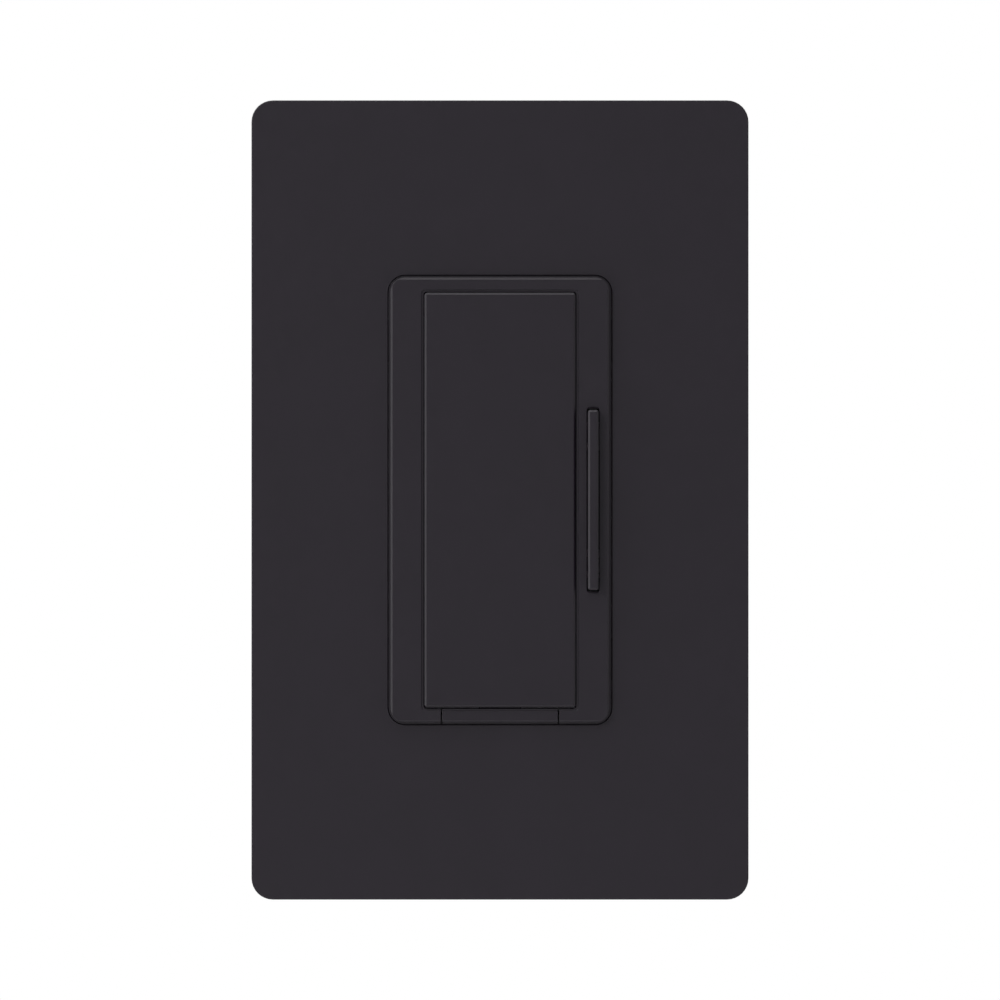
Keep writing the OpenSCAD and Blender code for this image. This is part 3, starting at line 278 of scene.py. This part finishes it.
TRIM = (0.0105, 0.0071, 0.0131)
surfaces = {
    "trim_plastic": moulded_plastic("trim_plastic", TRIM, 0.42, spread=0.015, seed=1),
    "black_plastic": moulded_plastic("black_plastic", (0.014, 0.014, 0.015), 0.5, seed=2),
    "housing_plastic": moulded_plastic(
        "housing_plastic", (0.02, 0.02, 0.022), 0.55, 0.3 * MM, 0.012 * MM, seed=3
    ),
    "yoke_metal": worked_metal("yoke_metal", (0.72, 0.73, 0.74), 0.36, (1, 1, 0.04), seed=4),
    "steel": worked_metal("steel", (0.56, 0.57, 0.6), 0.3, seed=5),
    "dark_steel": lacquered_metal("dark_steel", (0.03, 0.027, 0.032), 0.4, seed=6),
    "brass": worked_metal("brass", (0.78, 0.56, 0.24), 0.28, seed=7),
    "brass_screw": worked_metal("brass_screw", (0.72, 0.5, 0.2), 0.25, seed=8),
    "black_screw": lacquered_metal("black_screw", (0.016, 0.016, 0.017), 0.38, seed=9),
    "blue_screw": lacquered_metal("blue_screw", (0.02, 0.08, 0.4), 0.35, seed=10),
    "green_screw": lacquered_metal("green_screw", (0.02, 0.25, 0.07), 0.35, seed=11),
    "bronze": worked_metal("bronze", (0.66, 0.38, 0.2), 0.3, seed=12),
    "silver_contact": worked_metal("silver_contact", (0.82, 0.81, 0.78), 0.2, seed=13),
    "spring_steel": worked_metal("spring_steel", (0.5, 0.5, 0.52), 0.25, seed=14),
    "copper_wire": worked_metal("copper_wire", (0.62, 0.22, 0.08), 0.24, seed=15),
    "solder": worked_metal("solder", (0.66, 0.66, 0.67), 0.22, size=0.5 * MM, seed=16),
    "circuit_board": moulded_plastic(
        "circuit_board", (0.012, 0.09, 0.04), 0.3, 0.5 * MM, 0.006 * MM, seed=17
    ),
    "insulator": moulded_plastic("insulator", (0.72, 0.7, 0.62), 0.75, 0.15 * MM, 0.01 * MM, seed=18),
    "chip_epoxy": moulded_plastic("chip_epoxy", (0.018, 0.018, 0.02), 0.5, 0.08 * MM, 0.004 * MM, seed=19),
    "ceramic_part": moulded_plastic("ceramic_part", (0.4, 0.3, 0.2), 0.5, 0.1 * MM, 0.003 * MM, seed=20),
    "ferrite": moulded_plastic("ferrite", (0.08, 0.11, 0.1), 0.55, 0.3 * MM, 0.02 * MM, seed=21),
    "film_case": moulded_plastic("film_case", (0.6, 0.38, 0.04), 0.28, 0.8 * MM, 0.01 * MM, seed=22),
    "sleeve_navy": moulded_plastic("sleeve_navy", (0.014, 0.02, 0.09), 0.25, 0.6 * MM, 0.006 * MM, seed=23),
    "disc_blue": moulded_plastic("disc_blue", (0.03, 0.1, 0.38), 0.3, 0.7 * MM, 0.015 * MM, seed=24),
    "white_plastic": moulded_plastic("white_plastic", (0.74, 0.74, 0.7), 0.35, seed=25),
    "resistor_body": moulded_plastic("resistor_body", (0.58, 0.45, 0.3), 0.4, 0.3 * MM, 0.01 * MM, seed=26),
    "thermal_silicone": moulded_plastic(
        "thermal_silicone", (0.5, 0.52, 0.54), 0.7, 0.2 * MM, 0.01 * MM, seed=27
    ),
}

# ---------------------------------------------------------------- shaping tools


def slide_to_ring(point, ring, following):
    """Where a point of one rounded rectangle lies on the next.

    A ring is its width, height, corner radius and y.
    """
    (width, height, radius, _), (new_width, new_height, new_radius, y) = ring, following
    side, end = math.copysign(1, point.x), math.copysign(1, point.z)
    arc_x = point.x - side * (width / 2 - radius)
    arc_z = point.z - end * (height / 2 - radius)
    growth = new_radius / radius
    return Vector((side * (new_width / 2 - new_radius) + arc_x * growth, y,
                   end * (new_height / 2 - new_radius) + arc_z * growth))


def lofted(name, rings, steps=8):
    """A closed shell: the first ring is extruded from ring to ring, and round to the first again."""
    width, height, radius, y = rings[0]
    bpy.ops.mesh.primitive_plane_add(size=1, location=(0, y, 0), rotation=(math.radians(90), 0, 0))
    piece = bpy.context.active_object
    piece.name = piece.data.name = name
    piece.scale = (width, height, 1)
    settle(piece)
    start_editing(piece)
    bpy.ops.mesh.select_all(action="SELECT")
    bpy.ops.mesh.bevel(offset=radius, segments=steps, affect="VERTICES")
    bpy.ops.mesh.delete(type="ONLY_FACE")
    bpy.ops.mesh.select_all(action="SELECT")
    for ring, following in zip(rings, rings[1:] + rings[:1]):
        bpy.ops.mesh.extrude_region_move()
        mesh = bmesh.from_edit_mesh(piece.data)
        for vertex in mesh.verts:
            if vertex.select:
                vertex.co = slide_to_ring(vertex.co, ring, following)
        bmesh.update_edit_mesh(piece.data)
    stop_editing()
    return tidy_mesh(piece)


def turned(name, profile, place=(0, 0, 0), sides=48):
    """A solid turned about a line along +Y. Each (radius, distance) of the profile is one extrusion."""
    radius, distance = profile[0]
    start = Vector(place) + Vector((0, distance, 0))
    bpy.ops.mesh.primitive_circle_add(
        vertices=sides, radius=radius, fill_type="NGON", location=start, rotation=(math.radians(90), 0, 0)
    )
    piece = bpy.context.active_object
    piece.name = piece.data.name = name
    settle(piece)
    start_editing(piece)
    bpy.ops.mesh.select_all(action="SELECT")
    for wanted, further in profile[1:]:
        bpy.ops.mesh.extrude_region_move(TRANSFORM_OT_translate={"value": (0, further - distance, 0)})
        centre = Vector(place) + Vector((0, further, 0))
        size = wanted / radius
        bpy.ops.transform.resize(value=(size, 1, size), center_override=centre)
        radius, distance = wanted, further
    stop_editing()
    return tidy_mesh(piece)


def block(name, low, high, rounding, segments=2):
    """A block between two corners with all its edges rounded."""
    middle = [(a + b) / 2 for a, b in zip(low, high)]
    bpy.ops.mesh.primitive_cube_add(size=1, location=middle)
    piece = bpy.context.active_object
    piece.name = piece.data.name = name
    piece.scale = [b - a for a, b in zip(low, high)]
    settle(piece)
    start_editing(piece)
    bpy.ops.mesh.select_all(action="SELECT")
    bpy.ops.mesh.bevel(offset=rounding, segments=segments, affect="EDGES")
    stop_editing()
    return piece


def wire(name, points, radius):
    """A round wire along a line of points."""
    line = bpy.data.curves.new(name, "CURVE")
    line.dimensions = "3D"
    spline = line.splines.new("POLY")
    spline.points.add(len(points) - 1)
    for spot, point in zip(spline.points, points):
        spot.co = (*point, 1)
    line.bevel_depth = radius
    line.bevel_resolution = 3
    line.use_fill_caps = True
    piece = bpy.data.objects.new(name, line)
    bpy.context.scene.collection.objects.link(piece)
    select_only(piece)
    bpy.ops.object.convert(target="MESH")
    piece = bpy.context.active_object
    piece.name = piece.data.name = name
    return tidy_mesh(piece)


def smooth_off(piece, angle=SHARP):
    """Smooth shading that stays flat on the flats."""
    select_only(piece)
    bpy.ops.object.shade_smooth_by_angle(angle=angle)
    weighted = piece.modifiers.new("flats", "WEIGHTED_NORMAL")
    weighted.keep_sharp = True
    bpy.ops.object.modifier_apply(modifier=weighted.name)
    return piece


def carve(piece, cutter):
    """Cuts one piece out of another and throws the cutter away."""
    select_only(piece)
    cut = piece.modifiers.new("cut", "BOOLEAN")
    cut.operation = "DIFFERENCE"
    cut.solver = "EXACT"
    cut.use_self = True
    cut.object = cutter
    bpy.ops.object.modifier_apply(modifier=cut.name)
    bpy.data.objects.remove(cutter)
    return piece


def turn_and_place(piece, direction, place):
    """Turns a piece made along +Y from the origin to another direction and puts it in place."""
    piece.rotation_mode = "QUATERNION"
    piece.rotation_quaternion = Vector((0, 1, 0)).rotation_difference(Vector(direction))
    piece.location = place
    return settle(piece)


def arc(radius, start, end, steps):
    """Points of a quarter or other arc as (sideways, forward) pairs, from one angle to another in degrees."""
    angles = [math.radians(start + (end - start) * i / steps) for i in range(steps + 1)]
    return [(radius * math.cos(a), radius * math.sin(a)) for a in angles]


# ---------------------------------------------------------------- screws


def cross_cutter(reach, width, depth):
    """Two tapered blades crossed at the screw's axis, cutting in from y = 0."""
    blades = []
    for turn in (0, 90):
        low = (-reach, -0.3 * depth, -width)
        high = (reach, depth, width)
        middle = [(a + b) / 2 for a, b in zip(low, high)]
        bpy.ops.mesh.primitive_cube_add(size=1, location=middle)
        blade = bpy.context.active_object
        blade.scale = [b - a for a, b in zip(low, high)]
        settle(blade)
        start_editing(blade)
        select_where(blade, lambda co: co.y > depth - NEAR)
        bpy.ops.transform.resize(value=(0.45, 1, 0.6), center_override=(0, depth, 0))
        stop_editing()
        blade.rotation_euler = (0, math.radians(turn), 0)
        blades.append(settle(blade))
    return join_into(blades[0], blades[1])


THREAD_DEPTH = 0.55  # of the pitch


def thread(name, outer, pitch, start, end):
    """A ridge wound round the Y axis, from one distance to another."""
    root = outer - THREAD_DEPTH * pitch
    profile = [(root - 0.1 * pitch, -0.45), (outer, -0.08), (outer, 0.08), (root - 0.1 * pitch, 0.45)]
    bpy.ops.mesh.primitive_plane_add(size=1)
    piece = bpy.context.active_object
    piece.name = piece.data.name = name
    corners = [vertex.index for vertex in piece.data.vertices]
    order = [corners[0], corners[1], corners[3], corners[2]]
    for corner, (radius, along) in zip(order, profile):
        piece.data.vertices[corner].co = (radius, start + pitch * (0.5 + along), 0)
    start_editing(piece)
    bpy.ops.mesh.select_all(action="SELECT")
    bpy.ops.mesh.delete(type="ONLY_FACE")
    stop_editing()
    winding = piece.modifiers.new("winding", "SCREW")
    winding.axis = "Y"
    winding.angle = math.radians(360)
    winding.screw_offset = pitch
    winding.iterations = max(1, int((end - start) / pitch) - 1)
    winding.steps = winding.render_steps = 20
    bpy.ops.object.modifier_apply(modifier=winding.name)
    start_editing(piece)
    bpy.ops.mesh.select_all(action="SELECT")
    bpy.ops.mesh.fill_holes(sides=0)
    stop_editing()
    return tidy_mesh(piece)


def machine_screw(name, head_r, head_t, shank_r, length, pitch, threaded_from=0.0):
    """A pan-head screw along +Y: its face is at y = 0 and the shank reaches its length behind the head."""
    crown = [
        (
            head_r * (0.78 + 0.22 * math.sin(math.radians(a))),
            0.35 * head_t * (1 - math.cos(math.radians(a))),
        )
        for a in (0, 30, 60, 90)
    ]
    core = shank_r - THREAD_DEPTH * pitch
    tip = head_t + length
    plain = head_t + threaded_from
    neck = [(core, head_t), (core, tip - 0.4 * pitch), (0.75 * core, tip)]
    if threaded_from:
        neck = [(shank_r, head_t), (shank_r, plain), (core, plain + 0.3 * pitch)] + neck[1:]
    edge = 0.08 * MM
    profile = crown + [(head_r, head_t - edge), (head_r - edge, head_t)] + neck
    screw = turned(name, profile)
    carve(screw, cross_cutter(0.6 * head_r, 0.13 * head_r, 0.6 * head_t))
    ridge = thread(name + "_thread", shank_r, pitch, plain + 0.1 * pitch, tip)
    join_into(screw, ridge)
    return smooth_off(screw)


def copies(pattern, name, places):
    """One object made of copies of the pattern, each turned to its direction and put in its place."""
    made = []
    for direction, place in places:
        twin = pattern.copy()
        twin.data = pattern.data.copy()
        bpy.context.scene.collection.objects.link(twin)
        made.append(turn_and_place(twin, direction, place))
    bpy.data.objects.remove(pattern)
    whole = join_into(made[0], *made[1:]) if len(made) > 1 else made[0]
    whole.name = whole.data.name = name
    return whole


INWARD = (0, 1, 0)
OUTWARD = (0, -1, 0)
COARSE_PITCH = 0.79 * MM  # number 6-32 thread
FINE_PITCH = 0.5 * MM
COARSE_R = 1.74 * MM


def adapter_screws():
    low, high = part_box("adapter_screws")
    head_r, head_t = 3.1 * MM, 2.1 * MM
    length = high.y - low.y - head_t
    screw = machine_screw("adapter_screw", head_r, head_t, COARSE_R, length, COARSE_PITCH)
    places = [(INWARD, (0, low.y, z)) for z in (low.z + head_r, high.z - head_r)]
    return copies(screw, "plate_screws", places)


def housing_screws():
    low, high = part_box("housing_screws")
    head_r, head_t, shank_r, threaded = 2.4 * MM, 1.4 * MM, 1.2 * MM, 7 * MM
    length = high.y - low.y - head_t
    screw = machine_screw("housing_screw", head_r, head_t, shank_r, length, FINE_PITCH, length - threaded)
    places = [
        (OUTWARD, (x, high.y, z))
        for x in (low.x + head_r, high.x - head_r)
        for z in (low.z + head_r, high.z - head_r)
    ]
    return copies(screw, "case_screws", places)


def ground_screw():
    low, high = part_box("ground_screw")
    head_r, head_t = 3.6 * MM, 2.3 * MM
    screw = machine_screw("screw", head_r, head_t, COARSE_R, high.x - low.x - head_t, COARSE_PITCH)
    centre = (low + high) / 2
    return copies(screw, "ground_wire_screw", [((1, 0, 0), (low.x, centre.y, centre.z))])


def terminal_screw(node, name, side):
    """A terminal screw whose head faces +X for side 1 and -X for side -1."""
    low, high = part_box(node)
    head_r, head_t, shank_r = 3.8 * MM, 2.1 * MM, 1.86 * MM
    screw = machine_screw("screw", head_r, head_t, shank_r, high.x - low.x - head_t, COARSE_PITCH)
    centre = (low + high) / 2
    outer = high.x if side > 0 else low.x
    return copies(screw, name, [((-side, 0, 0), (outer, centre.y, centre.z))])


def triac_screw():
    low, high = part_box("triac_screw")
    head_r, head_t, shank_r = 2.8 * MM, 1.8 * MM, 1.5 * MM
    screw = machine_screw("screw", head_r, head_t, shank_r, high.y - low.y - head_t, FINE_PITCH)
    centre = (low + high) / 2
    return copies(screw, "heat_sink_screw", [(OUTWARD, (centre.x, high.y, centre.z))])


# ---------------------------------------------------------------- trim


def cover_plate():
    """The plain plate: a thin shell with soft front edges, a collar round its opening, catches and ribs."""
    low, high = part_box("cover_plate")
    width, height = high.x - low.x, high.z - low.z
    wall, face, edge, corner = 1.8 * MM, 2.0 * MM, 0.14 * MM, 3.2 * MM
    opening_w, opening_h, opening_r, collar = 33.4 * MM, 67.0 * MM, 2.6 * MM, 1.2 * MM
    inside = low.y + face
    collar_back = inside + 1.6 * MM
    rim, lip = 0.15 * MM, 0.06 * MM

    def outer(inset, y):
        return (width - 2 * inset, height - 2 * inset, corner - inset, y)

    def inner(inset, y):
        return (width - 2 * wall - 2 * inset, height - 2 * wall - 2 * inset, corner - wall - inset, y)

    def mouth(grow, y):
        return (opening_w + 2 * grow, opening_h + 2 * grow, opening_r + grow, y)

    rings = [outer(edge - s, low.y + edge - c) for s, c in reversed(arc(edge, 0, 90, 4))]
    rings += [outer(0, high.y - rim), outer(rim, high.y), inner(-rim, high.y), inner(0, high.y - rim)]
    rings += [inner(0, inside + lip), inner(0.3 * lip, inside + 0.3 * lip), inner(lip, inside)]
    rings += [mouth(collar + lip, inside), mouth(collar, inside + lip), mouth(collar, collar_back - rim)]
    rings += [mouth(collar - rim, collar_back), mouth(rim, collar_back), mouth(0, collar_back - rim)]
    rings += [mouth(lip - s, low.y + lip - c) for s, c in arc(lip, 0, 90, 3)]
    plate = lofted("clip_on_plate", rings)

    catch_x, catch_w, catch_y = 22.2 * MM, 8 * MM, (-4.2 * MM, -3.4 * MM)
    sunk, softened = 0.2 * MM, 0.12 * MM
    catch_z = (56.9 * MM, height / 2 - wall + sunk)
    rib_x, rib_z = (11.13 * MM, 12.13 * MM), (34.5 * MM, height / 2 - wall + sunk)
    rib_back = inside + 1.2 * MM
    details = []
    for side in (-1, 1):
        for end in (-1, 1):
            catch = sorted([side * (catch_x - catch_w / 2), side * (catch_x + catch_w / 2)])
            ledge = sorted([end * catch_z[0], end * catch_z[1]])
            low_corner, high_corner = zip(catch, catch_y, ledge)
            details.append(block("catch", low_corner, high_corner, softened))
            across = sorted([side * rib_x[0], side * rib_x[1]])
            along = sorted([end * rib_z[0], end * rib_z[1]])
            low_corner, high_corner = zip(across, (inside - sunk, rib_back), along)
            details.append(block("rib", low_corner, high_corner, softened))
    join_into(plate, *details)
    return smooth_off(plate)


# ---------------------------------------------------------------- springs, coils and capacitors


def paddle_springs():
    """Two compression springs with closed end coils, between the board and the paddle."""
    low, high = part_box("paddle_springs")
    wire_r = 0.16 * MM
    coil_r = (high.z - low.z) / 2 - wire_r
    start, end = low.y + wire_r, high.y - wire_r
    turns, steps = 6.5, 26
    closed_share = 0.12  # of the turns, at each end
    springs = []
    for x in (low.x + coil_r + wire_r, high.x - coil_r - wire_r):
        points = []
        for i in range(int(turns * steps) + 1):
            done = i / (turns * steps)
            rise = min(max((done - closed_share) / (1 - 2 * closed_share), 0), 1)
            ends = min(done, closed_share) + max(done - 1 + closed_share, 0)
            closed = wire_r * ends / closed_share
            y = start + closed + rise * (end - start - 2 * wire_r)
            turn = math.radians(360) * i / steps
            points.append((x + coil_r * math.cos(turn), y, (low.z + high.z) / 2 + coil_r * math.sin(turn)))
        springs.append(wire("spring", points, wire_r))
    pair = join_into(*springs)
    pair.name = pair.data.name = "return_springs"
    return smooth_off(pair, ROUND_WIRE)


def loop_round(half_w, half_d, corner, steps):
    """Points round a rounded rectangle, evenly stepped along each of its four corners."""
    points = []
    for quarter, (side, end) in enumerate(((1, 1), (-1, 1), (-1, -1), (1, -1))):
        for i in range(steps + 1):
            turn = math.radians(90) * (quarter + i / steps)
            points.append((side * (half_w - corner) + corner * math.cos(turn),
                           end * (half_d - corner) + corner * math.sin(turn)))
    return points


def choke_winding():
    """One enamelled wire wound round the ring core, each turn leading into the next along the back."""
    low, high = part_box("choke_core")
    centre = (low + high) / 2
    outer_r, inner_r, depth = (high.x - low.x) / 2, 4.6 * MM, high.y - low.y
    wire_r, gap, corner = 0.5 * MM, 0.06 * MM, 0.62 * MM
    turns, arc_wound = 18, math.radians(300)
    middle = (outer_r + inner_r) / 2
    loop = loop_round((outer_r - inner_r) / 2 + gap + wire_r, depth / 2 + gap + wire_r, corner, 4)
    step_angle = arc_wound / turns
    first = math.radians(30) + step_angle / 2
    points = []
    for turn in range(turns):
        for i, (radial, along) in enumerate(loop):
            lead = 0.5 - i / len(loop)
            angle = first + step_angle * (turn - lead * 0.9)
            radius = middle + radial
            x, z = radius * math.sin(angle), radius * math.cos(angle)
            points.append((centre.x + x, centre.y + along, centre.z + z))
    coil = wire("choke_coil", points, wire_r)
    return smooth_off(coil, ROUND_WIRE)


def electrolytic_capacitor():
    """A sleeved can with a crimp near its base, a rolled top and a scored vent."""
    low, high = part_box("electrolytic_capacitor")
    radius, length = (high.x - low.x) / 2, high.y - low.y
    roll, crimp = 0.5 * MM, 0.45 * MM
    top = [(radius - roll + s, roll - c) for s, c in reversed(arc(roll, 0, 90, 4))]
    dish = [(radius - 1.3 * MM, 0.25 * MM), (radius - 1.0 * MM, 0.0)]
    waist = length - 2.4 * MM
    base = [
        (radius, waist - 0.8 * MM), (radius - crimp, waist - 0.2 * MM),
        (radius - crimp, waist + 0.2 * MM), (radius, waist + 0.8 * MM),
        (radius, length - 0.4 * MM), (radius - 0.3 * MM, length),
    ]
    centre = (low + high) / 2
    can = turned("smoothing_capacitor", dish + top + base, (centre.x, low.y, centre.z))
    score = cross_cutter(0.7 * radius, 0.12 * MM, 0.4 * MM)
    score.location = (centre.x, low.y + 0.05 * MM, centre.z)
    settle(score)
    carve(can, score)
    return smooth_off(can)


def power_resistor():
    """A resistor with bulged ends, lying across the board."""
    low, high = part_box("power_resistor")
    radius, length = (high.z - low.z) / 2, high.x - low.x
    waist = 0.86 * radius
    bulge = [(0.45 * radius, 0), (0.8 * radius, 0.12 * MM), (0.97 * radius, 0.6 * MM), (radius, 1.2 * MM),
             (0.96 * radius, 2.0 * MM), (waist, 2.7 * MM)]
    profile = bulge + [(r, length - y) for r, y in reversed(bulge)]
    body = turned("ballast_resistor", profile)
    centre = (low + high) / 2
    turn_and_place(body, (1, 0, 0), (low.x, centre.y, centre.z))
    return smooth_off(body)


def plunger(node, name):
    """A switch plunger: a crowned button, its stem and the flange that keeps it in the switch."""
    low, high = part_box(node)
    centre = (low + high) / 2
    flange_r = (high.x - low.x) / 2
    stem_r, flange = PLUNGERS[node]
    crown = 0.22 * stem_r
    top = [(stem_r - crown + s, crown - c) for s, c in reversed(arc(crown, 0, 90, 3))]
    back = high.y - low.y
    front, rear = flange
    profile = top + [(stem_r, front), (flange_r, front), (flange_r, rear), (stem_r, rear), (stem_r, back)]
    button = turned(name, profile, (centre.x, low.y, centre.z), sides=64)
    return smooth_off(button)


# stem radius, and the flange's front and back behind the button's face
PLUNGERS = {
    "tap_plunger": (1.6 * MM, (1.2 * MM, 1.6 * MM)),
    "raise_plunger": (0.8 * MM, (1.25 * MM, 1.55 * MM)),
    "lower_plunger": (0.8 * MM, (1.25 * MM, 1.55 * MM)),
}

# ---------------------------------------------------------------- every node

HAND_MADE = {
    "cover_plate": cover_plate,
    "adapter_screws": adapter_screws,
    "housing_screws": housing_screws,
    "ground_screw": ground_screw,
    "line_screw": lambda: terminal_screw("line_screw", "line_wire_screw", -1),
    "traveller_screw": lambda: terminal_screw("traveller_screw", "traveller_wire_screw", -1),
    "load_screw": lambda: terminal_screw("load_screw", "load_wire_screw", 1),
    "triac_screw": triac_screw,
    "paddle_springs": paddle_springs,
    "choke_winding": choke_winding,
    "electrolytic_capacitor": electrolytic_capacitor,
    "power_resistor": power_resistor,
    "tap_plunger": lambda: plunger("tap_plunger", "tap_button_stem"),
    "raise_plunger": lambda: plunger("raise_plunger", "raise_button_stem"),
    "lower_plunger": lambda: plunger("lower_plunger", "lower_button_stem"),
}
# piece name, edge rounding in millimetres and its segments, for nodes whose shape is already right
ROUNDED = {
    "bezel": ("bezel_frame", 0.07, 2), "tap_paddle": ("paddle", 0.07, 2),
    "dimming_rocker": ("dimmer_bar", 0.07, 2),
    "service_tab": ("pull_tab_slide", 0.07, 2), "adapter_plate": ("clip_frame", 0.06, 2),
    "yoke": ("mounting_strap", 0.07, 2), "back_housing": ("rear_case", 0.22, 3),
    "film_capacitor": ("film_capacitor_body", 0.5, 4), "varistor": ("surge_disc", 0.8, 4),
    "optocoupler": ("optocoupler_body", 0.25, 2), "choke_core": ("ring_core", 0.1, 2),
    "controller_chip": ("controller_body", 0.12, 2), "triac_body": ("triac_case", 0.2, 2),
    "tap_dome": ("tap_dome_part", 0.015, 2), "raise_dome": ("raise_dome_part", 0.015, 2),
    "lower_dome": ("lower_dome_part", 0.015, 2),
}


def eased_copy(node):
    name, width, segments = ROUNDED.get(node, (node + "_part", 0.04, 2))
    piece = cad_copy(node, name)
    return round_edges(piece, width * MM, segments)


def flatten_with(piece):
    """Gives a springy piece a mesh of its own, no longer shared with other objects."""
    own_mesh(piece)


made = {}
for node in frame["nodes"]:
    piece = HAND_MADE[node]() if node in HAND_MADE else eased_copy(node)
    made[node] = finish_piece(piece, body_of(node), surfaces[slot_of(node)], slot_of(node), node)

flatten_with(made["paddle_springs"])
for dome, button, joint in (
    ("tap_dome", "tap_plunger", "tap_click"),
    ("raise_dome", "raise_plunger", "raise_click"),
    ("lower_dome", "lower_plunger", "lower_click"),
):
    flatten_with(made[dome])

# ---------------------------------------------------------------- studio


def pale_floor():
    deselect_all()
    bpy.ops.mesh.primitive_circle_add(vertices=96, radius=5, fill_type="NGON", location=(0, 0, -0.55))
    floor = bpy.context.active_object
    floor.name = "pale_floor"
    material, tree, shader = new_surface("pale_floor", (0.82, 0.82, 0.82), 0.8)
    vary_colour(tree, shader, object_noise(tree, 0.4), (0.81, 0.81, 0.81), (0.83, 0.83, 0.83))
    floor.data.materials.append(material)


def studio_world(backdrop=1.0, lower_right=0.40, upper_left=0.24, toward=(-0.45, -0.72, 0.53)):
    """Plain white behind the object, and a fill that lifts the side the lamps leave in shade."""
    world = bpy.data.worlds.new("studio")
    bpy.context.scene.world = world
    world.use_nodes = True
    tree = world.node_tree
    tree.nodes.clear()
    seen = tree.nodes.new("ShaderNodeBackground")
    seen.inputs["Color"].default_value = (1, 1, 1, 1)
    seen.inputs["Strength"].default_value = backdrop
    place = tree.nodes.new("ShaderNodeTexCoord")
    facing = tree.nodes.new("ShaderNodeVectorMath")
    facing.operation = "DOT_PRODUCT"
    facing.inputs[1].default_value = toward
    spread = tree.nodes.new("ShaderNodeMapRange")
    spread.inputs["From Min"].default_value = -0.5
    spread.inputs["From Max"].default_value = 0.9
    spread.inputs["To Min"].default_value = lower_right
    spread.inputs["To Max"].default_value = upper_left
    light = tree.nodes.new("ShaderNodeBackground")
    light.inputs["Color"].default_value = (1, 1, 1, 1)
    path = tree.nodes.new("ShaderNodeLightPath")
    mix = tree.nodes.new("ShaderNodeMixShader")
    out = tree.nodes.new("ShaderNodeOutputWorld")
    tree.links.new(place.outputs["Generated"], facing.inputs[0])
    tree.links.new(facing.outputs["Value"], spread.inputs["Value"])
    tree.links.new(spread.outputs["Result"], light.inputs["Strength"])
    tree.links.new(path.outputs["Is Camera Ray"], mix.inputs["Fac"])
    tree.links.new(light.outputs["Background"], mix.inputs[1])
    tree.links.new(seen.outputs["Background"], mix.inputs[2])
    tree.links.new(mix.outputs["Shader"], out.inputs["Surface"])


def soft_light(name, place, width, height, watts):
    """A soft box aimed at the object."""
    bpy.ops.object.light_add(type="AREA", location=place)
    light = bpy.context.active_object
    light.name = name
    light.data.shape = "RECTANGLE"
    light.data.size = width
    light.data.size_y = height
    light.data.energy = watts
    light.rotation_euler = (-Vector(place)).to_track_quat("-Z", "Y").to_euler()
    return light


def straight_on_camera():
    """A long lens straight in front of the plate's middle."""
    lens, sensor, framed = 250.0, 36.0, 148.87 * MM
    low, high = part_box("cover_plate")
    distance = framed * lens / sensor
    data = bpy.data.cameras.new("camera")
    data.lens = lens
    data.sensor_width = sensor
    camera = bpy.data.objects.new("camera", data)
    camera.location = ((low.x + high.x) / 2, low.y - distance, (low.z + high.z) / 2)
    camera.rotation_euler = (math.radians(90), 0, 0)
    bpy.context.scene.collection.objects.link(camera)
    bpy.context.scene.camera = camera


pale_floor()
studio_world()
soft_light("key", (-1.5, -2.0, 1.2), 0.9, 0.9, 23)
soft_light("left_strip", (-1.8, -0.4, 0.5), 1.2, 3.0, 20)
soft_light("top_strip", (-0.5, -0.4, 1.8), 3.0, 1.2, 28)
soft_light("right_fill", (1.8, -0.5, 0.1), 1.2, 3.0, 3.5)
soft_light("low_fill", (0.3, -0.6, -1.8), 3.0, 1.2, 4)
straight_on_camera()
bpy.context.scene.view_settings.view_transform = "Standard"
